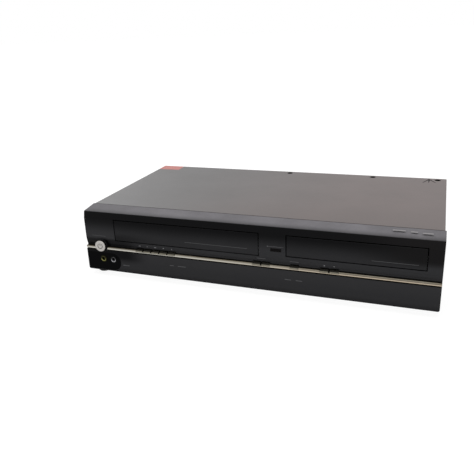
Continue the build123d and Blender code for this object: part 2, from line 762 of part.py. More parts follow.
# The capstan's stator on the pan: a base plate, a ring of coils and a thrust pad.
with BuildPart() as capstan_motor:
    block(around(capstan_place[0], 28.0), around(capstan_depth, 24.0),
          (floor_top, floor_top + 1.2))
    post(*capstan_place, (floor_top, flywheel_z[0] - 0.4), 3.0)
    with Locations((capstan_place[0], back(capstan_depth), floor_top + 2.4)):
        with PolarLocations(16.0, 9):
            Cylinder(4.5, 2.8)
keep(capstan_motor.part, "capstan_motor")

# The pinch arm and its rubber roller, drawn open; closing turns the arm clockwise.
contact_reach = capstan_radius + roller_radius + part_gap
closed_place = (capstan_place[0] + 0.6 * contact_reach, capstan_depth - 0.8 * contact_reach)
arm_run = (closed_place[0] - pinch_place[0], closed_place[1] - pinch_place[1])
arm_length = hypot(*arm_run)
arm_angle = atan2(arm_run[1], arm_run[0]) + radians(pinch_swing)
roller_place = (pinch_place[0] + arm_length * cos(arm_angle),
                pinch_place[1] + arm_length * sin(arm_angle))
arm_z = (plate_top + 5.0, plate_top + 8.0)
arm_middle = ((pinch_place[0] + roller_place[0]) / 2,
              back((pinch_place[1] + roller_place[1]) / 2))
roller_pin = 1.5
roller_z = (arm_z[1] + 0.4, arm_z[1] + 16.4)

with BuildPart() as pinch_arm:
    with BuildSketch(Plane.XY.offset(arm_z[0])):
        with Locations(arm_middle):
            SlotCenterToCenter(arm_length, 8.0, rotation=degrees(arm_angle))
    extrude(amount=arm_z[1] - arm_z[0])
    post(*pinch_place, (arm_z[0], arm_z[1] + 2.0), 4.0)
    post(*roller_place, (arm_z[0], roller_z[1] + 1.0), roller_pin)
    post(*pinch_place, (arm_z[0] - 1, arm_z[1] + 3), reel_post_radius + running_gap,
         Mode.SUBTRACT)
keep(pinch_arm.part, "pinch_arm")

with BuildPart() as pinch_roller:
    post(*roller_place, roller_z, roller_radius)
    fillet(pinch_roller.edges().filter_by(GeomType.CIRCLE), 0.8)
    post(*roller_place, wider(roller_z, 1), roller_pin + running_gap, Mode.SUBTRACT)
keep(pinch_roller.part, "pinch_roller")

reel_outline = gear_outline(reel_teeth, reel_module, reel_post_radius + running_gap)


# A reel table: a toothed disc and a hub with three driving vanes.
def make_reel(x):
    with BuildPart() as reel:
        with BuildSketch(Plane((x, back(reel_depth), reel_z[0]))):
            add(reel_outline)
        extrude(amount=reel_z[1] - reel_z[0])
        post(x, reel_depth, (reel_z[0], reel_hub_top), 7.0)
        post(x, reel_depth, (reel_z[0], reel_z[1] + 1.5), 12.0)
        with Locations((x, back(reel_depth), (reel_z[1] + reel_hub_top - 1.5) / 2)):
            with PolarLocations(7.5, 3):
                Box(4.0, 1.6, reel_hub_top - 1.5 - reel_z[1])
        post(x, reel_depth, (reel_z[0] - 1, reel_hub_top + 1), reel_post_radius + running_gap,
             Mode.SUBTRACT)
    return reel.part


supply_reel = make_reel(reel_places[0][0])
keep(supply_reel, "supply_reel")
takeup_reel = make_reel(reel_places[1][0])
keep(takeup_reel, "takeup_reel")


# A tape guide carriage: a block on the plate, a neck through its slot and a roller on top.
def make_guide(side):
    place = (deck_x + side * guide_start[0], guide_start[1])
    with BuildPart() as guide:
        block(around(place[0], 5.0), around(place[1], 3.5), (plate_top + 0.2, plate_top + 3.2))
        post(*place, (plate_z - 1.5, plate_top + 1.0), slot_width / 2 - running_gap)
        post(*place, (plate_z - 1.5, plate_z - 0.3), 3.5)
        post(*place, (plate_top + 3.0, plate_top + 22.0), 1.5)
        post(*place, (plate_top + 5.0, plate_top + 20.0), 3.0)
        post(*place, (plate_top + 20.0, plate_top + 21.5), 3.6)
    return guide.part


left_guide = make_guide(-1)
keep(left_guide, "left_guide")
right_guide = make_guide(1)
keep(right_guide, "right_guide")

# The erase head and the sound head, each a block on a post.
head_places = ((deck_x - 60.0, 172.0), (deck_x + 57.0, 180.5))
with BuildPart() as tape_heads:
    for place in head_places:
        block(around(place[0], 4.0), around(place[1], 3.5), (plate_top + 6.0, plate_top + 20.0))
        post(*place, (plate_top, plate_top + 6.5), 2.5)
        block(around(place[0], 2.0), (place[1] - 4.3, place[1]),
              (plate_top + 8.0, plate_top + 18.0))
keep(tape_heads.part, "tape_heads")

# The mode cam gear, and the motor and worm that turn it.
cam_z = (plate_top + 6.8, plate_top + 11.2)
cam_radius = cam_teeth * cam_module / 2
worm_depth = cam_depth + cam_radius + 0.9 * cam_module + worm_radius + 0.2
worm_z = sum(cam_z) / 2
motor_x = (cam_place[0] + 12.0, cam_place[0] + 40.0)
loading_motor_radius = 8.5

with BuildPart() as cam_gear:
    with BuildSketch(Plane((cam_place[0], back(cam_depth), cam_z[0]))):
        add(gear_outline(cam_teeth, cam_module, reel_post_radius + running_gap))
    extrude(amount=cam_z[1] - cam_z[0])
    post(*cam_place, (cam_z[0], cam_z[1] + 1.5), 4.5)
    post(*cam_place, (cam_z[0] - 1, cam_z[1] + 2), reel_post_radius + running_gap,
         Mode.SUBTRACT)
keep(cam_gear.part, "cam_gear")

with BuildPart() as loading_motor:
    cross_bar(motor_x, worm_depth, worm_z, loading_motor_radius)
    chamfer(loading_motor.edges().filter_by(GeomType.CIRCLE), 0.8)
    block(motor_x, around(worm_depth, 5.0), (plate_top, worm_z))
    cross_bar((motor_x[0] - 1, motor_x[0] + 9.0), worm_depth, worm_z, 1.0 + running_gap,
              Mode.SUBTRACT)
keep(loading_motor.part, "loading_motor")

with BuildPart() as loading_worm:
    cross_bar((cam_place[0] - 9.0, cam_place[0] + 9.0), worm_depth, worm_z, worm_radius - 0.9)
    cross_bar((cam_place[0] - 10.0, motor_x[0] + 8.0), worm_depth, worm_z, 1.0)
    for turn in range(7):
        middle = cam_place[0] + (turn - 3) * pi * cam_module * 0.85
        cross_bar(around(middle, 0.5), worm_depth, worm_z, worm_radius)
keep(loading_worm.part, "loading_worm")

# ---- the disc loader ----

loader_rear = loader_front + loader_length
rail_x = (loader_half_width - rail_width, loader_half_width)
loader_floor = (loader_z, loader_z + 2.0)
rail_top = loader_z + rail_height
tray_rear = panel_wall + tray_length
ledge_top = tray_z - tray_gap
lip_z = (tray_z + tray_height + tray_gap, tray_z + tray_height + tray_gap + 1.5)
pivot_z = traverse_z + traverse_thickness / 2
gear_radius = gear_teeth * gear_module / 2
rack_x = loader_x - tray_half_width + tray_rack_inset
rack_width = 3.0
gear_x = rack_x + rack_width + 1.1 * gear_module + gear_radius
gear_z = (tray_z + 0.3, tray_z + tray_floor_rise - 0.3)
gear_post_radius = 1.5
frame_bed = gear_depth + 18.0
tray_motor_place = (gear_x + 27.0, gear_depth)
tray_motor_radius = 9.0

# The moulded frame: two channel rails joined by a front bed and a rear bed.
with BuildPart() as loader_frame:
    for side in (-1, 1):
        rail = sorted((loader_x + side * rail_x[0], loader_x + side * rail_x[1]))
        block(rail, (loader_front, loader_rear), (loader_z, rail_top))
        ledge = sorted((loader_x + side * (rail_x[0] - 5.0), loader_x + side * rail_x[1]))
        block(ledge, (loader_front, loader_rear), (ledge_top - 2.0, ledge_top))
        block(ledge, (loader_front, loader_rear), lip_z)
        ear = sorted((loader_x + side * 45.0, loader_x + side * 51.0))
        block(ear, around(pivot_depth, 4.0), (loader_z, pivot_z + 4.0))
    frame_x = around(loader_x, loader_half_width)
    block(frame_x, (loader_front, frame_bed), loader_floor)
    block(frame_x, (pivot_depth - 4.0, loader_rear), loader_floor)
    block(frame_x, (loader_rear - 2.0, loader_rear), (loader_z, lip_z[0] - tray_gap))
    for side in (-1, 1):
        floor_edge = sorted((loader_x + side * 50.0, loader_x + side * loader_half_width))
        block(floor_edge, (loader_front, loader_rear), loader_floor)
    cross_bar(around(loader_x, 60.0), pivot_depth, pivot_z, pivot_radius + running_gap,
              Mode.SUBTRACT)
    post(gear_x, gear_depth, (loader_z, gear_z[1] - 0.2), gear_post_radius)
    post(gear_x, gear_depth, (loader_z, loader_floor[1] + 1.0), 4.0)
    post(*tray_motor_place, wider(loader_floor, 1), 3.5, Mode.SUBTRACT)
keep(loader_frame.part, "loader_frame")

# The steel bridge over the tray that holds the clamping disc.
bridge_z = (rail_top, rail_top + plate_thickness)
bridge_half_depth = 16.0
clamper_low = tray_z + tray_height + 0.7
with BuildPart() as clamp_bridge:
    block(frame_x, around(disc_centre_depth, bridge_half_depth), bridge_z)
    for side in (-1, 1):
        rib = around(disc_centre_depth + side * (bridge_half_depth - 0.6), 0.6)
        block(frame_x, rib, (bridge_z[0], bridge_z[1] + 3.0))
    post(loader_x, disc_centre_depth, wider(bridge_z, 1), clamper_neck + part_gap,
         Mode.SUBTRACT)
keep(clamp_bridge.part, "clamp_bridge")

# The free clamping disc, whose neck hangs in the bridge's hole.
with BuildPart() as disc_clamper:
    post(loader_x, disc_centre_depth, (clamper_low, bridge_z[0] - 0.4), clamper_radius)
    fillet(disc_clamper.edges().filter_by(GeomType.CIRCLE).group_by(Axis.Z)[0], 1.0)
    post(loader_x, disc_centre_depth, (bridge_z[0] - 0.5, bridge_z[1] + 0.4), clamper_neck)
    post(loader_x, disc_centre_depth, (bridge_z[1] + 0.3, bridge_z[1] + 1.8), clamper_neck + 3.0)
keep(disc_clamper.part, "disc_clamper")

# The disc tray: a dished plate, open under the disc's middle, with a rack along one edge.
tray_top = tray_z + tray_height
tray_plate = (tray_z + tray_floor_rise, tray_z + tray_floor_rise + tray_floor)
opening_half = 19.0
sled_end = sled_start + sled_travel
rack_pitch = pi * gear_module
with BuildPart() as disc_tray:
    block(around(loader_x, tray_half_width), (panel_wall, tray_rear), (tray_z, tray_top))
    fillet(disc_tray.edges().filter_by(Axis.Z).group_by(Axis.Y)[-1], 4.0)
    block(around(loader_x, tray_half_width - tray_rack_inset), (panel_wall + 6.0, tray_rear - 4.0),
          (tray_z - 1, tray_plate[0]), Mode.SUBTRACT)
    post(loader_x, disc_centre_depth, (tray_plate[1], tray_top + 1), disc_radius + 0.5,
         Mode.SUBTRACT)
    post(loader_x, disc_centre_depth, (tray_plate[1] - 0.9, tray_top + 1), 41.0, Mode.SUBTRACT)
    post(loader_x, disc_centre_depth, (tray_z - 1, tray_top + 1), opening_half, Mode.SUBTRACT)
    block(around(loader_x, opening_half), (disc_centre_depth, sled_end + 16.0),
          (tray_z - 1, tray_top + 1), Mode.SUBTRACT)
    # a way out through the rear wall for the pinion when the tray is fully out
    gear_bay = around(gear_x, gear_radius + gear_module + 1.5)
    block((rack_x + rack_width, gear_bay[1]), (tray_rear - 5.0, tray_rear + 1),
          (tray_z - 1, tray_plate[0]), Mode.SUBTRACT)
    rack_start = gear_depth - 1.5 * rack_pitch
    block((rack_x - 0.5, rack_x + rack_width - 1.0), (rack_start - 1.5, tray_rear - 3.0),
          (tray_z, tray_plate[0] + 0.5))
    rack_teeth = int((tray_travel + 2 * rack_pitch) / rack_pitch)
    with BuildSketch(Plane.XY.offset(tray_z)):
        for tooth in range(rack_teeth):
            spot = (rack_x + rack_width + 0.05 * gear_module, back(rack_start + tooth * rack_pitch))
            with Locations(spot):
                Trapezoid(0.4 * pi * gear_module + 2 * gear_module * tan(radians(20)),
                          2.1 * gear_module, 70, rotation=-90)
    extrude(amount=tray_floor_rise + 0.5)
keep(disc_tray.part, "disc_tray")

# The tray's front cap, flush with the front panel when the tray is shut.
with BuildPart() as tray_front:
    cap_depth = (-crease_reach - 0.2, -crease_reach - 0.2 + tray_front_thickness)
    block(tray_front_x, cap_depth, tray_front_z)
    chamfer(tray_front.faces().sort_by(Axis.Y)[0].edges(), 0.3)
    block(around(loader_x, tray_half_width - 8.0), (cap_depth[1] - 0.5, panel_wall),
          (tray_z + 0.5, tray_top - 0.5))
keep(tray_front.part, "tray_front")

# The pinion that drives the tray's rack, on one hub with its belt pulley.
with BuildPart() as tray_gear:
    with BuildSketch(Plane((gear_x, back(gear_depth), gear_z[0]))):
        add(gear_outline(gear_teeth, gear_module, gear_post_radius + running_gap))
    extrude(amount=gear_z[1] - gear_z[0])
    post(gear_x, gear_depth, (loader_floor[1] + 1.2, gear_z[0]), 4.0)
    post(gear_x, gear_depth, (loader_floor[1] + 1.2, loader_floor[1] + 4.2), 8.0)
    post(gear_x, gear_depth, (loader_z, gear_z[1] + 1), gear_post_radius + running_gap,
         Mode.SUBTRACT)
keep(tray_gear.part, "tray_gear")

# The tray motor, hung under the frame's front bed.
with BuildPart() as tray_motor:
    post(*tray_motor_place, (loader_z - 15.0, loader_z), tray_motor_radius)
    chamfer(tray_motor.edges().filter_by(GeomType.CIRCLE).group_by(Axis.Z)[0], 0.8)
    post(*tray_motor_place, (loader_z - 1, loader_floor[1] + 0.8), 3.2)
    post(*tray_motor_place, (loader_floor[1], loader_floor[1] + 5.0), 1.0)
    post(*tray_motor_place, (loader_floor[1] + 1.2, loader_floor[1] + 4.2), 3.0)
keep(tray_motor.part, "tray_motor")

# The traverse: a plate hinged at its rear that carries the spindle motor, rods and screw.
sled_bay = (sled_start - 18.0, traverse_rear - 4.0)
traverse_top = traverse_z + traverse_thickness
rod_z = traverse_z + 1.5
lead_radius = 1.3
screw_x = loader_x + 37.0
screw_z = traverse_z - 2.1
hanger_depths = (sled_bay[0] - 1.0, sled_bay[1] - 3.0)
with BuildPart() as traverse_frame:
    block(around(loader_x, traverse_half_width), (traverse_front, traverse_rear),
          (traverse_z, traverse_top))
    fillet(traverse_frame.edges().filter_by(Axis.Z).group_by(Axis.Y)[0], 8.0)
    block(around(loader_x, 33.0), sled_bay, (traverse_z - 1, traverse_top + 1), Mode.SUBTRACT)
    for depth in (sled_bay[0] - 2.5, sled_bay[1] + 2.0):
        for side in (-1, 1):
            block(around(loader_x + side * rod_offset, 3.5), around(depth, 2.5),
                  (traverse_z - 1.5, traverse_top + 2.0))
    block(around(loader_x, traverse_half_width), (traverse_rear - 5.0, pivot_depth),
          (traverse_z, traverse_top))
    cross_bar(around(loader_x, 50.0), pivot_depth, pivot_z, pivot_radius)
    for side in (-1, 1):
        rod(loader_x + side * rod_offset, (sled_bay[0] - 4.5, sled_bay[1] + 4.5), rod_z,
            rod_radius + 0.02, Mode.SUBTRACT)
    for depth in hanger_depths:
        block(around(screw_x, 2.5), around(depth, 2.0), (screw_z - 2.3, traverse_z + 0.5))
        rod(screw_x, around(depth, 3.0), screw_z, lead_radius + running_gap, Mode.SUBTRACT)
    post(loader_x, disc_centre_depth, (traverse_z, traverse_top + 4.5), motor_radius)
    post(loader_x, disc_centre_depth, (traverse_z - 1, traverse_top + 5), 1.5 + running_gap,
         Mode.SUBTRACT)
keep(traverse_frame.part, "traverse_frame")

with BuildPart() as guide_rods:
    for side in (-1, 1):
        rod(loader_x + side * rod_offset, (sled_bay[0] - 4.5, sled_bay[1] + 4.0), rod_z,
            rod_radius)
keep(guide_rods.part, "guide_rods")

# The turntable: a seat for the disc, a centring hub and a shaft down into the motor.
with BuildPart() as turntable:
    seat_z = (traverse_top + 4.8, traverse_top + 6.8)
    post(loader_x, disc_centre_depth, seat_z, turntable_radius)
    with BuildSketch(Plane.XY.offset(seat_z[1])):
        with Locations((loader_x, back(disc_centre_depth))):
            Circle(7.3)
    extrude(amount=1.2, taper=20)
    post(loader_x, disc_centre_depth, (traverse_z + 0.5, seat_z[1]), 1.5)
keep(turntable.part, "turntable")

# The pickup sled: a wide body on the two rods, and a lens housing that looks up the slot.
sled_half_length = 14.0
with BuildPart() as pickup_sled:
    block(around(loader_x, 29.0), around(sled_start, sled_half_length),
          (traverse_z - 0.5, traverse_top + 2.0))
    block(around(loader_x, 12.0), around(sled_start, sled_half_length - 4.0),
          (traverse_top, traverse_top + 5.5))
    post(loader_x, sled_start - 4.0, (traverse_top + 5.0, traverse_top + 6.3), 4.0)
    post(loader_x, sled_start - 4.0, (traverse_top + 5.8, traverse_top + 7.0), 2.9,
         Mode.SUBTRACT)
    block((loader_x + 20.0, screw_x + 3.0), around(sled_start, 4.0),
          (screw_z - 1.8, traverse_z - 0.3))
    rod(screw_x, around(sled_start, 5.0), screw_z, lead_radius + running_gap, Mode.SUBTRACT)
    for side in (-1, 1):
        rod(loader_x + side * rod_offset, around(sled_start, sled_half_length + 1), rod_z,
            rod_radius + running_gap, Mode.SUBTRACT)
keep(pickup_sled.part, "pickup_sled")

# The lead screw under the traverse plate, turning in two hangers.
with BuildPart() as lead_screw:
    rod(screw_x, wider(hanger_depths, 3.0), screw_z, lead_radius)
    rod(screw_x, (hanger_depths[0] - 5.0, hanger_depths[0] - 2.2), screw_z, 1.9)
keep(lead_screw.part, "lead_screw")

# ---- boards and the rear ----

board_x = around(loader_x, board_half_width)
board_top = board_z + board_thickness
main_board_depth = (30.0, 114.0)
power_board_depth = (120.0, 214.0)
chip_places = [(-34.0, 62.0, 11.0), (2.0, 58.0, 9.0), (34.0, 66.0, 8.0), (-8.0, 92.0, 6.0)]
capacitor_places = [(-28.0, 196.0), (-8.0, 196.0), (30.0, 196.0)]

# The main circuit board with its larger chips.
with BuildPart() as main_board:
    block(board_x, main_board_depth, (board_z, board_top))
    for x, depth, half in chip_places:
        block(around(loader_x + x, half), around(depth, half), (board_top, board_top + 2.2))
    block(around(loader_x - 40.0, 4.0), around(98.0, 12.0), (board_top, board_top + 8.0))
    block(around(loader_x + 44.0, 12.0), around(104.0, 3.5), (board_top, board_top + 8.0))
keep(main_board.part, "main_board")

# The power board: transformer, capacitors and a finned heat sink.
with BuildPart() as power_board:
    block(board_x, power_board_depth, (board_z, board_top))
    block(around(loader_x + 30.0, 17.0), around(150.0, 14.0), (board_top, board_top + 20.0))
    block(around(loader_x + 30.0, 12.0), around(150.0, 18.0), (board_top + 3.0, board_top + 17.0))
    for x, depth in capacitor_places:
        post(loader_x + x, depth, (board_top, board_top + 20.0), 7.5)
    block(around(loader_x - 30.0, 20.0), around(150.0, 1.0), (board_top, board_top + 22.0))
    with Locations((loader_x - 30.0, back(156.0), board_top + 11.0)):
        with GridLocations(6.0, 1.0, 7, 1):
            Box(1.2, 12.0, 22.0)
keep(power_board.part, "power_board")

# The steel rear panel, pierced for every socket and slotted for air.
jack_columns = [rear_jack_x + (i - (rear_jack_columns - 1) / 2) * rear_socket_pitch
                for i in range(rear_jack_columns)]
jack_rows = [rear_jack_z + (i - (rear_jack_rows - 1) / 2) * rear_socket_pitch
             for i in range(rear_jack_rows)]
rf_xs = (rf_x - rf_pitch / 2, rf_x + rf_pitch / 2)
rear_wall = (rear_panel_depth, rear_panel_depth + sheet)
socket_tip = cover_depth + socket_reach

with BuildPart() as rear_panel:
    block((-shell_half, shell_half), rear_wall, (base_z, sheet_under_top))
    for x in jack_columns:
        for z in jack_rows:
            rod(x, wider(rear_wall, 1), z, rear_jack_radius + seat_gap, Mode.SUBTRACT)
    for x in rf_xs:
        rod(x, wider(rear_wall, 1), rf_z, rf_socket_radius + seat_gap, Mode.SUBTRACT)
    rod(gland_x, wider(rear_wall, 1), gland_z, gland_radius + seat_gap, Mode.SUBTRACT)
    with BuildSketch(upright(rear_panel_depth - 1)):
        with Locations((deck_x, top_z - 28.0)):
            with GridLocations(8.0, 22.0, 17, 2):
                SlotOverall(16.0, 3.0, rotation=90)
    extrude(amount=-sheet - 2, mode=Mode.SUBTRACT)
keep(rear_panel.part, "rear_panel")

# The block of sound and picture jacks.
with BuildPart() as rear_jacks:
    jack_half = rear_jack_columns * rear_socket_pitch / 2
    row_half = rear_jack_rows * rear_socket_pitch / 2
    block(around(rear_jack_x, jack_half), (rear_wall[0] - 14.0, rear_wall[0] - seat_gap),
          around(rear_jack_z, row_half))
    for x in jack_columns:
        for z in jack_rows:
            rod(x, (rear_wall[0] - 1.0, socket_tip - 1.0), z, rear_jack_radius)
            rod(x, (rear_wall[0], socket_tip), z, jack_bore, Mode.SUBTRACT)
            rod(x, (rear_wall[0] - 1.0, socket_tip - 2.0), z, 1.0)
keep(rear_jacks.part, "rear_jacks")

# The tuner can with its two aerial sockets.
with BuildPart() as aerial_sockets:
    block(around(rf_x, 26.0), (rear_wall[0] - 16.0, rear_wall[0] - seat_gap),
          (rf_z - 22.0, rf_z + 10.0))
    for x in rf_xs:
        rod(x, (rear_wall[0] - 1.0, socket_tip), rf_z, rf_socket_radius)
        with BuildSketch(upright(rear_wall[1] + seat_gap)):
            with Locations((x, rf_z)):
                RegularPolygon(6.4, 6)
        extrude(amount=-2.0)
        rod(x, (socket_tip - 6.0, socket_tip + 1.0), rf_z, 1.2, Mode.SUBTRACT)
        rod(x, (socket_tip - 1.5, socket_tip + 1.0), rf_z, 3.2, Mode.SUBTRACT)
keep(aerial_sockets.part, "aerial_sockets")

# The rubber gland that the mains cord would leave by.
with BuildPart() as cord_gland:
    rod(gland_x, (rear_wall[0] - 3.0, rear_wall[1] + 2.5), gland_z, gland_radius)
    rod(gland_x, (rear_wall[0] - 3.0, rear_wall[0] - seat_gap), gland_z, gland_radius + 1.5)
    rod(gland_x, (rear_wall[1] + seat_gap, rear_wall[1] + 2.5), gland_z, gland_radius + 2.5)
    chamfer(cord_gland.edges().filter_by(GeomType.CIRCLE).group_by(Axis.Y)[-1], 0.6)
    rod(gland_x, (rear_wall[0] - 4.0, rear_wall[1] + 4.0), gland_z, 2.8, Mode.SUBTRACT)
keep(cord_gland.part, "cord_gland")
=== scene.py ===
import bpy
import bmesh
import math
from mathutils import Matrix, Vector


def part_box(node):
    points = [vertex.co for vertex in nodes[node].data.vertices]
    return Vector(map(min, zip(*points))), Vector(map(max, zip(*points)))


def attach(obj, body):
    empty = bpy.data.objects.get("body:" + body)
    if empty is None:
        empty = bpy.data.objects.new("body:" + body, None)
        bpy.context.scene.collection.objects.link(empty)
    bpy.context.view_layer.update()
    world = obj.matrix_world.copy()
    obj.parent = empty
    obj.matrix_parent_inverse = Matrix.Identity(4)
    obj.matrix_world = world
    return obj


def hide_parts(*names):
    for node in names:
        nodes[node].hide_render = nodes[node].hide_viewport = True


# A slim home deck: a cassette door on the left, a disc tray on the right, and small keys along
# a metallic stripe below them.  Metres, +X to the viewer's right, +Y to the back, feet on Z = 0.

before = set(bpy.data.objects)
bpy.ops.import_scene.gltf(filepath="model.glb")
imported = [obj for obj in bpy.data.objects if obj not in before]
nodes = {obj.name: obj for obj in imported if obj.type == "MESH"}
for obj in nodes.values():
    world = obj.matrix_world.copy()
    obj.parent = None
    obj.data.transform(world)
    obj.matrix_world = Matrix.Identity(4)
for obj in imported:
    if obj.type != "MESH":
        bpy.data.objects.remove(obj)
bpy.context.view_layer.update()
scene = bpy.context.scene
mm = 0.001
print("frame loaded:", len(nodes), "nodes")


# the middle of a node's box
def middle(name):
    low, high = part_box(name)
    return Vector(((low.x + high.x) / 2, (low.y + high.y) / 2, (low.z + high.z) / 2))


def newPiece(name, mesh, material, body):
    piece = bpy.data.objects.new(name, mesh)
    scene.collection.objects.link(piece)
    piece.data.materials.append(material)
    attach(piece, body)
    return piece


def meshFrom(name, builder, smoothAngle=None):
    work = bmesh.new()
    builder(work)
    bmesh.ops.recalc_face_normals(work, faces=work.faces)
    mesh = bpy.data.meshes.new(name)
    work.to_mesh(mesh)
    work.free()
    if smoothAngle is not None:
        mesh.shade_smooth()
        mesh.set_sharp_from_angle(angle=math.radians(smoothAngle))
    return mesh


# turns a closed profile of (radius, along) pairs round an axis, Y or Z, through a point
def addTurned(work, profile, centre, axis="y", steps=40):
    loops = []
    for step in range(steps):
        angle = 2 * math.pi * step / steps
        across = (math.cos(angle), math.sin(angle))
        ring = []
        for radius, along in profile:
            if axis == "y":
                place = (across[0] * radius, along, across[1] * radius)
            else:
                place = (across[0] * radius, across[1] * radius, along)
            ring.append(work.verts.new(Vector(centre) + Vector(place)))
        loops.append(ring)
    count = len(profile)
    for step in range(steps):
        here = loops[step]
        there = loops[(step + 1) % steps]
        for spot in range(count):
            after = (spot + 1) % count
            work.faces.new((here[spot], here[after], there[after], there[spot]))


# a thin solid from a flat outline: place(u, v, lift) gives the point on and over the skin
def addInlay(work, outline, place, lift, sink):
    top = [work.verts.new(place(u, v, lift)) for u, v in outline]
    low = [work.verts.new(place(u, v, -sink)) for u, v in outline]
    work.faces.new(top)
    work.faces.new(list(reversed(low)))
    for spot in range(len(outline)):
        after = (spot + 1) % len(outline)
        work.faces.new((top[spot], low[spot], low[after], top[after]))


# sets a socket to a number or a colour, or links another socket to it
def feed(tree, socket, value):
    if isinstance(value, bpy.types.NodeSocket):
        tree.links.new(value, socket)
    elif isinstance(value, tuple):
        socket.default_value = (*value, 1.0)
    else:
        socket.default_value = value


def addNode(tree, kind, settings=None, **values):
    node = tree.nodes.new("ShaderNode" + kind)
    for label, value in (settings or {}).items():
        setattr(node, label, value)
    for label, value in values.items():
        feed(tree, node.inputs[label.replace("_", " ")], value)
    return node


def addMath(tree, operation, *values, clamp=False):
    node = addNode(tree, "Math", {"operation": operation, "use_clamp": clamp})
    for spot, value in enumerate(values):
        feed(tree, node.inputs[spot], value)
    return node.outputs[0]


def mixColour(tree, mask, first, second):
    mix = addNode(tree, "Mix", {"data_type": "RGBA"}, Factor=mask)
    feed(tree, mix.inputs[6], first)  # 6 and 7 are the two colours, 2 the mixed one
    feed(tree, mix.inputs[7], second)
    return mix.outputs[2]


# the piece's own coordinates, whole and split
def objectPlace(tree):
    return addNode(tree, "TexCoord").outputs["Object"]


def splitPlace(tree):
    return addNode(tree, "SeparateXYZ", Vector=objectPlace(tree)).outputs


# a mask that rises from the first place to the last along the axis of each ramp
def placeMask(tree, ramps):
    place = splitPlace(tree)
    mask = None
    for axisName, first, last in ramps:
        ramp = addNode(tree, "MapRange", {"interpolation_type": "SMOOTHSTEP"},
                       Value=place[axisName], From_Min=min(first, last),
                       From_Max=max(first, last), To_Min=float(first > last),
                       To_Max=float(last > first)).outputs["Result"]
        mask = ramp if mask is None else addMath(tree, "MULTIPLY", mask, ramp)
    return mask


# a colour that comes in along the given ramps of (axis, from, to)
def fade(colour, *ramps):
    return ramps, colour


# groups of nodes that the materials share
def newGroup(name, inputs, outputs):
    group = bpy.data.node_groups.new(name, "ShaderNodeTree")
    for label, value in inputs:
        socket = group.interface.new_socket(label, in_out="INPUT", socket_type="NodeSocketFloat")
        socket.default_value = value
    for label in outputs:
        group.interface.new_socket(label, in_out="OUTPUT", socket_type="NodeSocketFloat")
    start = group.nodes.new("NodeGroupInput")
    end = group.nodes.new("NodeGroupOutput")
    return group, start.outputs, end.inputs


def placeGroup(tree, group, **values):
    node = tree.nodes.new("ShaderNodeGroup")
    node.node_tree = group
    for label, value in values.items():
        feed(tree, node.inputs[label.replace("_", " ")], value)
    return node.outputs


grainLook = {"scale": 900.0, "detail": 3.0, "roughness": 0.6, "coarseScale": 0.7,
             "coarseHeight": 0.5}


# moulded or powdery grain: a value for colour and a height for bump
def makeGrainGroup():
    group, given, result = newGroup("surfaceGrain", [("Scale", grainLook["scale"]),
                                                     ("Detail", grainLook["detail"])],
                                    ["Value", "Height"])
    where = objectPlace(group)
    fine = addNode(group, "TexNoise", Vector=where, Scale=given["Scale"],
                   Detail=given["Detail"], Roughness=grainLook["roughness"]).outputs["Fac"]
    wider = addMath(group, "MULTIPLY", given["Scale"], grainLook["coarseScale"])
    coarse = addNode(group, "TexVoronoi", Vector=where, Scale=wider).outputs["Distance"]
    height = addMath(group, "MULTIPLY_ADD", coarse, grainLook["coarseHeight"], fine)
    feed(group, result["Value"], fine)
    feed(group, result["Height"], height)
    return group


wearLook = {"radius": 0.0005, "amount": 0.5, "patches": 120.0, "samples": 4, "gain": 6.0,
            "detail": 4.0, "roughness": 0.65, "patchFrom": 0.45, "patchTo": 0.62}


# bright worn edges, which on the sensor window are a painted highlight, found where a rounded normal
# leaves the true one
def makeWearGroup():
    group, given, result = newGroup("edgeWear", [("Radius", wearLook["radius"]),
                                                 ("Amount", wearLook["amount"]),
                                                 ("Patches", wearLook["patches"])], ["Mask"])
    rounded = addNode(group, "Bevel", {"samples": wearLook["samples"]}, Radius=given["Radius"])
    facet = addNode(group, "NewGeometry")
    match = addNode(group, "VectorMath", {"operation": "DOT_PRODUCT"})
    feed(group, match.inputs[0], rounded.outputs["Normal"])
    feed(group, match.inputs[1], facet.outputs["Normal"])
    edge = addMath(group, "SUBTRACT", 1.0, match.outputs["Value"])
    edge = addMath(group, "MULTIPLY", edge, wearLook["gain"], clamp=True)
    patches = addNode(group, "TexNoise", Vector=objectPlace(group), Scale=given["Patches"],
                      Detail=wearLook["detail"], Roughness=wearLook["roughness"])
    broken = addNode(group, "MapRange", Value=patches.outputs["Fac"],
                     From_Min=wearLook["patchFrom"], From_Max=wearLook["patchTo"])
    mask = addMath(group, "MULTIPLY", edge, broken.outputs["Result"])
    mask = addMath(group, "MULTIPLY", mask, given["Amount"], clamp=True)
    feed(group, result["Mask"], mask)
    return group


dustLook = {"dust": 0.3, "smudgeScale": 14.0, "levelFrom": 0.6, "levelTo": 0.98,
            "cloudDetail": 5.0, "cloudRoughness": 0.6, "cloudGain": 0.8, "cloudBase": 0.2,
            "speckScale": 1400.0, "speckDetail": 2.0, "speckGain": 0.5, "speckBase": 0.75}
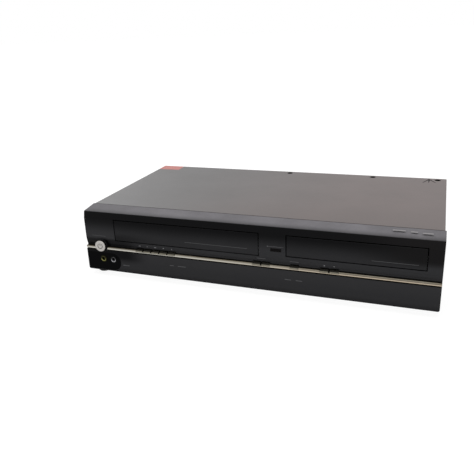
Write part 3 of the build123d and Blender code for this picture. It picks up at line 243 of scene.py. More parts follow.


# settled dust on faces that look up, which on the front's top strip also lays a painted reflection,
# and soft smudges everywhere
def makeDustGroup():
    group, given, result = newGroup("dustAndSmudge", [("Dust", dustLook["dust"]),
                                                      ("Smudge Scale", dustLook["smudgeScale"])],
                                    ["Dust", "Smudge"])
    normal = addNode(group, "NewGeometry").outputs["Normal"]
    split = addNode(group, "SeparateXYZ", Vector=normal)
    upward = addNode(group, "MapRange", Value=split.outputs["Z"],
                     From_Min=dustLook["levelFrom"], From_Max=dustLook["levelTo"])
    where = objectPlace(group)
    cloud = addNode(group, "TexNoise", Vector=where, Scale=given["Smudge Scale"],
                    Detail=dustLook["cloudDetail"],
                    Roughness=dustLook["cloudRoughness"]).outputs["Fac"]
    specks = addNode(group, "TexNoise", Vector=where, Scale=dustLook["speckScale"],
                     Detail=dustLook["speckDetail"]).outputs["Fac"]
    patchy = addMath(group, "MULTIPLY_ADD", cloud, dustLook["cloudGain"], dustLook["cloudBase"])
    speckled = addMath(group, "MULTIPLY_ADD", specks, dustLook["speckGain"],
                       dustLook["speckBase"])
    dust = addMath(group, "MULTIPLY", upward.outputs["Result"], patchy)
    dust = addMath(group, "MULTIPLY", dust, speckled)
    dust = addMath(group, "MULTIPLY", dust, given["Dust"], clamp=True)
    feed(group, result["Dust"], dust)
    feed(group, result["Smudge"], cloud)
    return group


brushLook = {"across": 2600.0, "along": 30.0, "detail": 3.0, "roughness": 0.7}


# fine lines drawn along X, as brushing and rolling leave them
def makeBrushGroup():
    group, given, result = newGroup("brushedLines", [("Across", brushLook["across"]),
                                                     ("Along", brushLook["along"])],
                                    ["Value", "Height"])
    place = splitPlace(group)
    drawn = addNode(group, "CombineXYZ",
                    X=addMath(group, "MULTIPLY", place["X"], given["Along"]),
                    Y=addMath(group, "MULTIPLY", place["Y"], given["Across"]),
                    Z=addMath(group, "MULTIPLY", place["Z"], given["Across"]))
    lines = addNode(group, "TexNoise", Vector=drawn.outputs["Vector"], Scale=1.0,
                    Detail=brushLook["detail"], Roughness=brushLook["roughness"])
    feed(group, result["Value"], lines.outputs["Fac"])
    feed(group, result["Height"], lines.outputs["Fac"])
    return group


grainGroup = makeGrainGroup()
wearGroup = makeWearGroup()
dustGroup = makeDustGroup()
brushGroup = makeBrushGroup()


def startMaterial(name):
    material = bpy.data.materials.new(name)
    material.use_nodes = True
    tree = material.node_tree
    tree.nodes.clear()
    end = tree.nodes.new("ShaderNodeOutputMaterial")
    surface = tree.nodes.new("ShaderNodeBsdfPrincipled")
    tree.links.new(surface.outputs["BSDF"], end.inputs["Surface"])
    return material, tree, surface.inputs


# what most finishes share: two close tones, worn edges, dust, uneven gloss and a fine bump; on some
# finishes the fades, the dust and the worn edges also paint light and shade
plainLook = {"tone": 1.18, "shade": 0.80, "roughness": 0.45, "spread": 0.14, "metallic": 0.0,
             "specular": 0.5, "grainScale": 900.0, "grainHeight": 0.00002, "bump": 0.6,
             "wear": 0.35, "wearColour": (0.25, 0.25, 0.25), "wearRadius": 0.0004,
             "dust": 0.12, "dustColour": (0.30, 0.29, 0.27), "dustRoughness": 0.3,
             "dustWhere": (), "smudgeScale": 14.0, "smudge": 0.5, "coat": 0.0,
             "brushed": False, "fades": ()}


def finish(name, base, **changes):
    look = {**plainLook, **changes}
    material, tree, surface = startMaterial(name)
    if look["brushed"]:
        grain = placeGroup(tree, brushGroup)
    else:
        grain = placeGroup(tree, grainGroup, Scale=look["grainScale"])
    wear = placeGroup(tree, wearGroup, Radius=look["wearRadius"], Amount=look["wear"])
    dust = placeGroup(tree, dustGroup, Dust=look["dust"], Smudge_Scale=look["smudgeScale"])
    lighter = tuple(min(1.0, part * look["tone"]) for part in base)
    darker = tuple(part * look["shade"] for part in base)
    colour = mixColour(tree, grain["Value"], base, lighter)
    for ramps, second in look["fades"]:
        colour = mixColour(tree, placeMask(tree, ramps), colour, second)
    smudgeMask = addMath(tree, "MULTIPLY", dust["Smudge"], look["smudge"])
    colour = mixColour(tree, smudgeMask, colour, darker)
    colour = mixColour(tree, wear["Mask"], colour, look["wearColour"])
    dustAndSheenMask = dust["Dust"]
    if look["dustWhere"]:
        dustAndSheenMask = addMath(tree, "MULTIPLY", dustAndSheenMask, placeMask(tree, look["dustWhere"]))
    colour = mixColour(tree, dustAndSheenMask, colour, look["dustColour"])
    uneven = addMath(tree, "MULTIPLY_ADD", dust["Smudge"], look["spread"],
                     look["roughness"] - look["spread"] / 2)
    uneven = addMath(tree, "MULTIPLY_ADD", dustAndSheenMask, look["dustRoughness"], uneven, clamp=True)
    bump = addNode(tree, "Bump", Strength=look["bump"], Distance=look["grainHeight"],
                   Height=grain["Height"])
    feed(tree, surface["Base Color"], colour)
    feed(tree, surface["Roughness"], uneven)
    feed(tree, surface["Normal"], bump.outputs["Normal"])
    surface["Metallic"].default_value = look["metallic"]
    surface["Specular IOR Level"].default_value = look["specular"]
    surface["Coat Weight"].default_value = look["coat"]
    return material


# the lid's grey warms towards the right, and painted shade darkens it towards its front corners
coverPaint = finish("coverPaint", (0.080, 0.077, 0.078), roughness=0.42, spread=0.10,
                    grainScale=1500.0, grainHeight=0.00003, wear=0.5,
                    wearColour=(0.22, 0.21, 0.20), dust=0.10, dustColour=(0.22, 0.21, 0.20),
                    fades=[fade((0.122, 0.0865, 0.0810), ("X", -0.18, 0.17)),
                           fade((0.104, 0.0730, 0.0680), ("X", -0.14, 0.15),
                                ("Y", 0.00, -0.11)),
                           fade((0.062, 0.060, 0.063), ("X", -0.10, -0.21),
                                ("Y", 0.03, -0.09))])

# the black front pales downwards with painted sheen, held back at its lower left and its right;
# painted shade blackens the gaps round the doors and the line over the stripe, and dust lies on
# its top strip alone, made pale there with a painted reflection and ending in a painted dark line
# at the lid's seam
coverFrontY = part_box("top_cover")[0].y
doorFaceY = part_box("cassette_door")[0].y
paintedSheenDown = ("Z", 0.0775, 0.0560)
frontMoulding = finish("frontMoulding", (0.0012, 0.0012, 0.0016), roughness=0.42,
                       specular=0.08, grainScale=2200.0, grainHeight=0.00001, wear=0.25,
                       wearColour=(0.05, 0.05, 0.055), dust=0.95, smudge=0.3,
                       dustColour=(0.30, 0.29, 0.31),
                       dustWhere=[("Z", 0.0860, 0.0885),
                                  ("Y", coverFrontY - 0.0008, coverFrontY - 0.0014)],
                       fades=[fade((0.0430, 0.0430, 0.0460), paintedSheenDown),
                              fade((0.0040, 0.0040, 0.0050), ("X", -0.125, -0.165),
                                   ("Z", 0.0540, 0.0490)),
                              fade((0.0070, 0.0062, 0.0065), ("X", 0.120, 0.190),
                                   ("Z", 0.0540, 0.0640)),
                              fade((0.0003, 0.0003, 0.0003),
                                   ("Y", doorFaceY + 0.0005, doorFaceY + 0.0012),
                                   ("Z", 0.0480, 0.0490), ("Z", 0.0805, 0.0795)),
                              fade((0.002, 0.0015, 0.001), ("Z", 0.0422, 0.0413))])
# the doors pale downwards with painted sheen, held back towards the tray's right and the cassette
# door's lower left, and painted shade blackens their faces behind the front
doorFace = finish("doorFace", (0.0022, 0.0022, 0.0028), roughness=0.24, specular=0.06,
                  grainScale=1600.0, grainHeight=0.000004, wear=0.25,
                  wearColour=(0.05, 0.05, 0.055), dust=0.0, smudge=0.3,
                  fades=[fade((0.0360, 0.0360, 0.0385), paintedSheenDown),
                         fade((0.0090, 0.0085, 0.0088), ("X", 0.110, 0.200),
                              ("Z", 0.0530, 0.0640)),
                         fade((0.0150, 0.0150, 0.0160), ("X", -0.100, -0.170),
                              ("Z", 0.0640, 0.0540)),
                         fade((0.0003, 0.0003, 0.0003),
                              ("Y", doorFaceY + 0.0002, doorFaceY + 0.0006))])
# painted light: the lower skin is lighter upwards and darker at its bottom, with a dark painted
# reflection beside the jack pocket and a line of painted shade along its top under the stripe
lowerSkin = finish("lowerSkin", (0.0340, 0.0340, 0.0362), roughness=0.5, specular=0.05,
                   grainScale=1900.0, grainHeight=0.00001, wear=0.3,
                   wearColour=(0.09, 0.09, 0.095), dust=0.05, smudge=0.3,
                   fades=[fade((0.0440, 0.0435, 0.0460), ("Z", 0.0160, 0.0340)),
                          fade((0.0240, 0.0240, 0.0252), ("Z", 0.0150, 0.0090)),
                          fade((0.0010, 0.0010, 0.0015), ("X", -0.125, -0.160),
                               ("Z", 0.0190, 0.0290)),
                          fade((0.003, 0.003, 0.003), ("Z", 0.0360, 0.0364))])
pocketGloss = finish("pocketGloss", (0.0012, 0.0012, 0.0016), roughness=0.14, specular=0.03,
                     grainHeight=0.000002, wear=0.2, wearColour=(0.04, 0.04, 0.04), dust=0.0)
# the sensor window's pale edges are a painted highlight, laid as edge wear
darkWindow = finish("darkWindow", (0.002, 0.001, 0.001), roughness=0.10, specular=0.06,
                    grainHeight=0.000001, wear=0.6, wearColour=(0.16, 0.16, 0.17),
                    wearRadius=0.0003, dust=0.02)

# the stripe has a painted highlight low on its face, warmer to the right, and painted shade in a
# dark line along its top and a darker band over the highlight to the right
stripeGlint = ("Z", 0.0391, 0.0379)
stripeMetallic = finish("stripeMetallic", (0.38, 0.37, 0.33), metallic=1.0, roughness=0.30,
                        spread=0.10, brushed=True, grainHeight=0.000004, wear=0.3,
                        wearColour=(0.45, 0.43, 0.38), dust=0.0, tone=1.12,
                        fades=[fade((0.36, 0.345, 0.295), ("X", -0.20, 0.02)),
                               fade((0.270, 0.200, 0.135), ("X", -0.06, 0.16)),
                               fade((0.80, 0.77, 0.69), stripeGlint),
                               fade((0.60, 0.47, 0.31), ("X", -0.14, 0.16), stripeGlint),
                               fade((0.05, 0.035, 0.015), ("Z", 0.0398, 0.0403)),
                               fade((0.05, 0.035, 0.015), ("X", 0.02, 0.12),
                                    ("Z", 0.0391, 0.0396))])
# painted shade darkens the keys above a low metallic band
keyMetallic = finish("keyMetallic", (0.200, 0.185, 0.145), metallic=1.0, roughness=0.34,
                     spread=0.10, brushed=True, grainHeight=0.000004, wear=0.3,
                     wearColour=(0.16, 0.15, 0.13), dust=0.0, tone=1.12,
                     fades=[fade((0.004, 0.004, 0.006), ("Z", 0.0402, 0.0408))])
buttonSilver = finish("buttonSilver", (0.43, 0.415, 0.395), metallic=1.0, roughness=0.32,
                      spread=0.12, grainScale=2400.0, grainHeight=0.000006, wear=0.4,
                      wearColour=(0.70, 0.69, 0.67), dust=0.05, tone=1.08)

# the two front jacks: dim collars and sleeves, darker above where their pocket shades them
collarTop = ("Z", 0.0200, 0.0240)
sleeveTop = ("Z", 0.0234, 0.0248)
yellowCollar = finish("yellowCollar", (0.026, 0.025, 0.004), roughness=0.35, specular=0.06,
                      grainHeight=0.000006, wear=0.1, wearColour=(0.06, 0.055, 0.02),
                      dust=0.0, fades=[fade((0.005, 0.005, 0.001), collarTop)])
whiteCollar = finish("whiteCollar", (0.014, 0.014, 0.015), roughness=0.35, specular=0.06,
                     grainHeight=0.000006, wear=0.1, wearColour=(0.05, 0.05, 0.05),
                     dust=0.0, fades=[fade((0.003, 0.003, 0.003), collarTop)])
goldSleeve = finish("goldSleeve", (0.34, 0.33, 0.12), metallic=1.0, roughness=0.32,
                    grainHeight=0.000004, wear=0.2, wearColour=(0.6, 0.58, 0.3), dust=0.0,
                    fades=[fade((0.01, 0.009, 0.005), sleeveTop)])
steelSleeve = finish("steelSleeve", (0.52, 0.52, 0.54), metallic=1.0, roughness=0.32,
                     grainHeight=0.000004, wear=0.2, wearColour=(0.7, 0.7, 0.7), dust=0.0,
                     fades=[fade((0.01, 0.01, 0.01), sleeveTop)])

# coloured rings of the rear jacks
yellowRing = finish("yellowRing", (0.60, 0.50, 0.05), roughness=0.35, specular=0.4,
                    grainHeight=0.000006, wear=0.2, wearColour=(0.7, 0.64, 0.3))
whiteRing = finish("whiteRing", (0.66, 0.66, 0.65), roughness=0.35, specular=0.4,
                   grainHeight=0.000006, wear=0.2, wearColour=(0.8, 0.8, 0.8), tone=1.05)
redRing = finish("redRing", (0.50, 0.03, 0.025), roughness=0.35, specular=0.4,
                 grainHeight=0.000006, wear=0.2, wearColour=(0.6, 0.2, 0.2))

# metals, rubber and plastics of the works and the case
zincSteel = finish("zincSteel", (0.52, 0.53, 0.54), metallic=1.0, roughness=0.38,
                   spread=0.18, grainScale=420.0, grainHeight=0.00001, wear=0.3,
                   wearColour=(0.75, 0.76, 0.77), dust=0.15, smudgeScale=24.0)
machinedAlloy = finish("machinedAlloy", (0.62, 0.63, 0.64), metallic=1.0, roughness=0.24,
                       brushed=True, grainHeight=0.000004, wear=0.3,
                       wearColour=(0.82, 0.83, 0.84), dust=0.06, tone=1.06)
brightSteel = finish("brightSteel", (0.52, 0.53, 0.55), metallic=1.0, roughness=0.22,
                     grainHeight=0.000004, wear=0.3, wearColour=(0.8, 0.8, 0.8), dust=0.05)
motorCan = finish("motorCan", (0.44, 0.44, 0.45), metallic=1.0, roughness=0.33,
                  grainHeight=0.000006, wear=0.5, wearColour=(0.7, 0.7, 0.7))
blackScrew = finish("blackScrew", (0.05, 0.05, 0.055), metallic=1.0, roughness=0.34,
                    grainHeight=0.000008, wear=0.9, wearColour=(0.45, 0.45, 0.46))
blackRubber = finish("blackRubber", (0.018, 0.018, 0.018), roughness=0.78, specular=0.3,
                     grainScale=1200.0, grainHeight=0.00004, wear=0.4,
                     wearColour=(0.07, 0.07, 0.07), dust=0.2)
blackAcetal = finish("blackAcetal", (0.026, 0.026, 0.028), roughness=0.44, specular=0.4,
                     grainScale=1300.0, grainHeight=0.00001, wear=0.3,
                     wearColour=(0.10, 0.10, 0.10), dust=0.15)
whiteAcetal = finish("whiteAcetal", (0.66, 0.65, 0.61), roughness=0.36, grainHeight=0.000008,
                     wear=0.2, wearColour=(0.75, 0.74, 0.72), dust=0.15, tone=1.06)
lensGlass = finish("lensGlass", (0.020, 0.012, 0.055), roughness=0.06, spread=0.04,
                   specular=0.8, coat=1.0, grainHeight=0.000001, wear=0.1, dust=0.05)
# black for the painted shade inside the lid's holes
holeShadeBlack = finish("holeShadeBlack", (0.003, 0.003, 0.003), roughness=0.7, specular=0.02,
                   grainHeight=0.000004, wear=0.1, wearColour=(0.02, 0.02, 0.02), dust=0.0)


# what is printed, stuck or drawn on the case
def ink(name, base, specular, roughness=0.5, wear=0.0):
    return finish(name, base, roughness=roughness, specular=specular, grainHeight=0.000004,
                  wear=wear, dust=0.0)


printInk = ink("printInk", (0.28, 0.28, 0.29), 0.3)
faintInk = ink("faintInk", (0.11, 0.11, 0.115), 0.2)
signGrey = ink("signGrey", (0.11, 0.105, 0.10), 0.1)
signPale = ink("signPale", (0.30, 0.29, 0.295), 0.1)
penInk = ink("penInk", (0.004, 0.004, 0.005), 0.03, roughness=0.7, wear=0.3)
redLabel = finish("redLabel", (0.54, 0.185, 0.165), roughness=0.55, specular=0.4,
                  grainScale=700.0, grainHeight=0.00001, wear=0.5,
                  wearColour=(0.62, 0.40, 0.37), dust=0.15, tone=1.15)

boardLook = {"lacquer": (0.035, 0.11, 0.045), "track": (0.06, 0.19, 0.08),
             "solder": (0.42, 0.43, 0.43), "part": (0.02, 0.02, 0.022),
             "coil": (0.45, 0.17, 0.06), "dustColour": (0.30, 0.29, 0.27),
             "wearColour": (0.4, 0.4, 0.4), "trackScale": 90.0, "trackGap": 0.012,
             "solderScale": 260.0, "solderSize": 0.22, "thick": 1.6 * mm, "above": 0.1 * mm,
             "dust": 0.25, "smudgeScale": 30.0, "wear": 0.4, "wearRadius": 0.0003,
             "roughness": 0.3, "spread": 0.2, "bump": 0.5, "bumpHeight": 0.00005}


# boards: lacquered laminate, and the parts above its top told apart by where they stand
def boardMaterial(name, boardTop, partColour, groups=()):
    material, tree, surface = startMaterial(name)
    where = objectPlace(tree)
    place = splitPlace(tree)
    dust = placeGroup(tree, dustGroup, Dust=boardLook["dust"],
                      Smudge_Scale=boardLook["smudgeScale"])
    wear = placeGroup(tree, wearGroup, Radius=boardLook["wearRadius"],
                      Amount=boardLook["wear"])
    tracks = addNode(tree, "TexBrick", {"offset": 0.5}, Vector=where,
                     Scale=boardLook["trackScale"],
                     Mortar_Size=boardLook["trackGap"]).outputs["Fac"]
    laminate = mixColour(tree, tracks, boardLook["lacquer"], boardLook["track"])
    dots = addNode(tree, "TexVoronoi", Vector=where, Scale=boardLook["solderScale"])
    solder = addMath(tree, "LESS_THAN", dots.outputs["Distance"], boardLook["solderSize"])
    laminate = mixColour(tree, solder, laminate, boardLook["solder"])
    raised = addMath(tree, "GREATER_THAN", place["Z"], boardTop + boardLook["above"])
    colour = mixColour(tree, raised, laminate, partColour)
    metal = 0.0
    for group in groups:
        inside = raised
        for axisName in ("X", "Y"):
            first, last = group[axisName]
            above = addMath(tree, "GREATER_THAN", place[axisName], first)
            below = addMath(tree, "LESS_THAN", place[axisName], last)
            inside = addMath(tree, "MULTIPLY", inside, above)
            inside = addMath(tree, "MULTIPLY", inside, below)
        colour = mixColour(tree, inside, colour, group["colour"])
        metal = addMath(tree, "MULTIPLY_ADD", inside, group["metal"], metal, clamp=True)
    colour = mixColour(tree, dust["Dust"], colour, boardLook["dustColour"])
    colour = mixColour(tree, wear["Mask"], colour, boardLook["wearColour"])
    uneven = addMath(tree, "MULTIPLY_ADD", dust["Smudge"], boardLook["spread"],
                     boardLook["roughness"])
    bump = addNode(tree, "Bump", Strength=boardLook["bump"], Distance=boardLook["bumpHeight"],
                   Height=tracks)
    feed(tree, surface["Base Color"], colour)
    feed(tree, surface["Metallic"], metal)
    feed(tree, surface["Roughness"], uneven)
    feed(tree, surface["Normal"], bump.outputs["Normal"])
    return material


# what stands on the power board, in mm from the board's middle across and its front edge back
powerParts = {
    "heatSink": {"across": (-52.0, -8.0), "back": (25.0, 46.0), "colour": (0.60, 0.60, 0.61),
                 "metal": 1.0},
    "transformer": {"across": (12.0, 49.0), "back": (10.0, 52.0),
                    "colour": (0.42, 0.33, 0.06), "metal": 0.0},
    "capacitors": {"across": (-38.0, 40.0), "back": (66.0, 86.0),
                   "colour": (0.03, 0.035, 0.07), "metal": 0.0},
}


def powerGroups():
    x = middle("power_board").x
    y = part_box("power_board")[0].y
    return [{"X": [x + edge * mm for edge in part["across"]],
             "Y": [y + edge * mm for edge in part["back"]],
             "colour": part["colour"], "metal": part["metal"]} for part in powerParts.values()]


keyBoardTop = 9.0  # metres: the key board stands upright, and nothing on it counts as above it
coilBoardTop = 10.3 * mm
mainBoard = boardMaterial("mainBoard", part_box("main_board")[0].z + boardLook["thick"],
                          boardLook["part"])
powerBoard = boardMaterial("powerBoard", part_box("power_board")[0].z + boardLook["thick"],
                           boardLook["part"], powerGroups())
keyBoard = boardMaterial("keyBoard", keyBoardTop, boardLook["part"])
coilBoard = boardMaterial("coilBoard", coilBoardTop, boardLook["coil"])
print("materials made:", len(bpy.data.materials))

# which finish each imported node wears
keyNames = ["tape_key_%d" % number for number in range(1, 6)]
keyNames += ["middle_key_1", "middle_key_2", "single_key", "disc_key_1", "disc_key_2"]
nodeFinishes = {
    coverPaint: ["top_cover"],
    frontMoulding: ["front_panel"],
    doorFace: ["cassette_door", "tray_front"],
    lowerSkin: ["lower_panel"],
    pocketGloss: ["jack_pocket"],
    stripeMetallic: ["trim_stripe"],
    keyMetallic: keyNames,
    buttonSilver: ["power_button"],
    yellowCollar: ["video_jack"],
    whiteCollar: ["audio_jack"],
    darkWindow: ["sensor_window"],
    zincSteel: ["bottom_chassis", "rear_panel", "deck_plate", "holder_brackets",
                "holder_carriage", "cassette_holder", "clamp_bridge", "aerial_sockets",
                "traverse_frame"],
    machinedAlloy: ["lower_drum", "upper_drum"],
    brightSteel: ["capstan", "guide_rods", "lead_screw", "pinch_arm"],
    blackRubber: ["pinch_roller", "feet", "cord_gland"],
    blackScrew: ["cover_screws"],
    mainBoard: ["main_board"],
    powerBoard: ["power_board"],
    keyBoard: ["front_board"],
    coilBoard: ["capstan_motor"],
    blackAcetal: ["loader_frame", "disc_tray", "supply_reel", "takeup_reel", "rear_jacks",
                  "pickup_sled", "turntable", "tape_heads"],
    whiteAcetal: ["cam_gear", "tray_gear", "disc_clamper", "loading_worm", "left_guide",
                  "right_guide"],
    motorCan: ["loading_motor", "tray_motor"],
}
for material, names in nodeFinishes.items():
    for name in names:
        nodes[name].data.materials.clear()
        nodes[name].data.materials.append(material)
print("nodes dressed:", sum(len(names) for names in nodeFinishes.values()))

# the case's main faces, which the printed signs, the marks and the screws lie on
coverLow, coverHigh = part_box("top_cover")
trayX = middle("tray_front").x
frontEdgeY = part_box("front_panel")[0].y + 3.5 * mm  # depths are counted back from here
waist = {"top": 54.0 * mm, "bottom": 43.0 * mm, "radius": 31.25 * mm, "reach": 2.0 * mm}


def onFront(x, z, lift):
    drop = max(0.0, min(waist["top"] - z, waist["top"] - waist["bottom"]))
    curve = waist["radius"] - math.sqrt(waist["radius"] ** 2 - drop ** 2)
    return (x, frontEdgeY - waist["reach"] + curve - lift, z)


def uprightFace(name):
    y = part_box(name)[0].y
    return lambda x, z, lift: (x, y - lift, z)


def levelFace(name):
    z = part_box(name)[1].z
    return lambda x, depth, lift: (x, frontEdgeY + depth, z + lift)


onDoor = uprightFace("cassette_door")
onTray = uprightFace("tray_front")
onLower = uprightFace("lower_panel")
onLid = levelFace("top_cover")
onTopStrip = levelFace("front_panel")


def barSign(x, z, width, height):
    return [(x - width / 2, z - height / 2), (x + width / 2, z - height / 2),
            (x + width / 2, z + height / 2), (x - width / 2, z + height / 2)]


def arrowSign(x, z, width, height, turn=0.0):
    corners = [(-width / 2, -height / 2), (width / 2, 0.0), (-width / 2, height / 2)]
    return [(x + u * math.cos(turn) - v * math.sin(turn),
             z + u * math.sin(turn) + v * math.cos(turn)) for u, v in corners]


inlay = {"lift": 0.04 * mm, "sink": 0.12 * mm}


def makeInlays(name, shapes, place, material, body,
               lift=inlay["lift"]):
    def build(work):
        for outline in shapes:
            addInlay(work, outline, place, lift, inlay["sink"])
    return newPiece(name, meshFrom(name, build), material, body)


signs = {"width": 1.5 * mm, "height": 1.7 * mm, "z": 46.3 * mm, "square": 1.4 * mm,
         "out": {"rise": 0.3 * mm, "width": 1.0 * mm, "height": 2.0 * mm},
         "outBar": {"drop": 0.75 * mm, "width": 2.0 * mm, "height": 0.35 * mm},
         "keys": {"tape_key_1": "back", "tape_key_2": "play", "tape_key_3": "on",
                  "tape_key_4": "stop", "tape_key_5": "out", "disc_key_1": "stop",
                  "disc_key_2": "play"}}


# generic transport signs over the keys
def keySigns():
    width, height, z = signs["width"], signs["height"], signs["z"]
    out, outBar = signs["out"], signs["outBar"]
    shapes = []
    for name, kind in signs["keys"].items():
        x = middle(name).x
        if kind in ("back", "on"):
            turn = math.pi if kind == "back" else 0.0
            shapes += [arrowSign(x - width / 2, z, width, height, turn),
                       arrowSign(x + width / 2, z, width, height, turn)]
        elif kind == "play":
            shapes.append(arrowSign(x, z, width, height))
        elif kind == "stop":
            shapes.append(barSign(x, z, signs["square"], signs["square"]))
        else:
            shapes += [arrowSign(x, z + out["rise"], out["width"], out["height"], math.pi / 2),
                       barSign(x, z - outBar["drop"], outBar["width"], outBar["height"])]
    return shapes


makeInlays("keySigns", keySigns(), onFront, printInk, "case")

# plain bars where small print would be: (middle across, middle up or back, width, height), mm
pairX = (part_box("middle_key_1")[0].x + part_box("middle_key_2")[1].x) / 2 / mm
singleX = middle("single_key").x / mm
printBars = {
    "keyLegends": {"face": onFront, "body": "case", "ink": faintInk,
                   "bars": [(pairX, 47.0, 10.5, 0.7), (singleX, 47.0, 10.5, 0.7)]},
    "powerLegend": {"face": onFront, "body": "case", "ink": faintInk,
                    "bars": [(-198.0, 55.2, 20.0, 0.35)]},
    "sensorLegend": {"face": onFront, "body": "case", "ink": faintInk,
                     "bars": [(38.5, 63.5, 18.0, 0.45), (28.7, 63.5, 1.4, 1.4)]},
    "doorPinstripe": {"face": onDoor, "body": "cassette_door", "ink": faintInk,
                      "bars": [(-36.0, 58.0, 80.0, 0.4)]},
    "trayPinstripe": {"face": onTray, "body": "disc_tray", "ink": faintInk,
                      "bars": [(169.0, 58.5, 48.0, 0.4)]},
    "lowerLegends": {"face": onLower, "body": "case", "ink": faintInk,
                     "bars": [(-95.0, 25.5, 5.5, 0.8), (-81.5, 25.5, 10.5, 0.8),
                              (53.0, 25.0, 7.5, 0.8), (66.0, 25.0, 7.5, 0.8),
                              (-160.5, 18.0, 9.5, 0.8)]},
    "topLegends": {"face": onTopStrip, "body": "case", "ink": signPale,
                   "bars": [(170.4, 13.4, 13.0, 3.0), (186.0, 12.2, 7.0, 3.0),
                            (199.5, 10.6, 10.5, 3.0)]},
}
for name, look in printBars.items():
    outlines = [barSign(*(size * mm for size in bar)) for bar in look["bars"]]
    makeInlays(name, outlines, look["face"], look["ink"], look["body"])
print("signs printed")

# the power sign, on the button's dished face
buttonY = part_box("power_button")[0].y
powerSign = {"x": middle("power_button").x, "z": 42.4 * mm, "dishRadius": 38.4 * mm,
             "dishDepth": 0.4 * mm, "ring": 3.3 * mm, "stroke": 0.85 * mm, "gap": 35.0,
             "steps": 28, "barRise": 2.1 * mm, "barHeight": 3.2 * mm}


def onDish(x, z, lift):
    away = math.hypot(x - powerSign["x"], z - powerSign["z"])
    radius = powerSign["dishRadius"]
    hollow = radius - math.sqrt(radius ** 2 - away ** 2)
    return (x, buttonY + powerSign["dishDepth"] - hollow - lift, z)


def powerStrokes():
    x, z, stroke = powerSign["x"], powerSign["z"], powerSign["stroke"]
    inner = powerSign["ring"] - stroke / 2
    outer = powerSign["ring"] + stroke / 2
    sweep = math.radians(360 - 2 * powerSign["gap"])
    first = math.radians(90 + powerSign["gap"])
    strokes = []
    for step in range(powerSign["steps"]):
        one = first + sweep * step / powerSign["steps"]
        two = first + sweep * (step + 1) / powerSign["steps"]
        corners = ((inner, one), (outer, one), (outer, two), (inner, two))
        strokes.append([(x + radius * math.cos(angle), z + radius * math.sin(angle))
                        for radius, angle in corners])
    strokes.append(barSign(x, z + powerSign["barRise"], stroke, powerSign["barHeight"]))
    return strokes


makeInlays("powerSign", powerStrokes(), onDish, signGrey, "power_button")

# metal sleeves in the front jacks
jackSleeve = {"outer": 3.2 * mm, "inner": 2.65 * mm, "front": -0.35 * mm, "back": 6.0 * mm,
              "edge": 0.15 * mm}


def makeJackSleeves():
    outer, inner, edge = jackSleeve["outer"], jackSleeve["inner"], jackSleeve["edge"]
    front, back = jackSleeve["front"], jackSleeve["back"]
    profile = [(inner, front + edge), (inner + edge, front), (outer - edge, front),
               (outer, front + edge), (outer, back), (inner, back)]
    for node, name, metal in (("video_jack", "videoJackSleeve", goldSleeve),
                              ("audio_jack", "audioJackSleeve", steelSleeve)):
        centre = middle(node)
        centre.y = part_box(node)[0].y

        def build(work):
            addTurned(work, profile, centre)
        newPiece(name, meshFrom(name, build, smoothAngle=40), metal, "case")


makeJackSleeves()

# cross-head screws: the cross is in shares of the head's radius, its sink in shares of the
# height, and the shoulders in shares of both
screwHead = {"steps": 28, "under": 0.2 * mm, "arm": 0.52, "halfArm": 0.13, "taper": 0.7,
             "sink": 0.7, "shoulders": [(1.0, 0.45), (0.92, 0.75), (0.72, 1.0)]}


def addCrossHead(work, centre, outward, radius, height):
    start = len(work.verts)
    steps = screwHead["steps"]
    rings = [(radius, -screwHead["under"])]
    rings += [(radius * share, height * rise) for share, rise in screwHead["shoulders"]]
    loops = []
    for ringRadius, level in rings:
        loops.append([work.verts.new((ringRadius * math.cos(2 * math.pi * step / steps),
                                      ringRadius * math.sin(2 * math.pi * step / steps), level))
                      for step in range(steps)])
    for lower, upper in zip(loops, loops[1:]):
        for step in range(steps):
            after = (step + 1) % steps
            work.faces.new((lower[step], lower[after], upper[after], upper[step]))
    work.faces.new(list(reversed(loops[0])))
    arm, half = radius * screwHead["arm"], radius * screwHead["halfArm"]
    cross = [(arm, -half), (arm, half), (half, half), (half, arm), (-half, arm), (-half, half),
             (-arm, half), (-arm, -half), (-half, -half), (-half, -arm), (half, -arm),
             (half, -half)]
    count, taper = len(cross), screwHead["taper"]
    floorLevel = height * (1 - screwHead["sink"])
    rim = [work.verts.new((u, v, height)) for u, v in cross]
    floor = [work.verts.new((u * taper, v * taper, floorLevel)) for u, v in cross]
    edges = [work.edges.new((rim[spot], rim[(spot + 1) % count])) for spot in range(count)]
    edges += [work.edges.get((loops[-1][step], loops[-1][(step + 1) % steps]))
              for step in range(steps)]
    bmesh.ops.triangle_fill(work, use_beauty=True, use_dissolve=False, edges=edges)
    for spot in range(count):
        after = (spot + 1) % count
        work.faces.new((rim[spot], rim[after], floor[after], floor[spot]))
    work.faces.new(floor)
    work.verts.ensure_lookup_table()
    turn = Vector(outward).to_track_quat("Z", "Y").to_matrix().to_4x4()
    move = Matrix.Translation(centre) @ turn
    for vert in list(work.verts)[start:]:
        vert.co = move @ vert.co


def makeScrews(name, places, radius, height):
    def build(work):
        for place, outward in places:
            addCrossHead(work, place, outward, radius, height)
    return newPiece(name, meshFrom(name, build, smoothAngle=35), blackScrew, "case")


sideScrews = {"depths": (60.0, 200.0), "radius": 3.2 * mm, "height": 1.05 * mm}
rearScrews = {"inset": 8.0 * mm, "upper": (-60.0, 92.0), "lower": (-20.0,),
              "radius": 2.8 * mm, "height": 1.1 * mm}
baseScrews = {"places": [(-170, 70), (14, 70), (-170, 222), (14, 222), (57, 34), (184, 34),
                         (57, 180), (195, 180)],  # (across, depth) in mm
              "radius": 2.8 * mm, "height": 1.1 * mm}


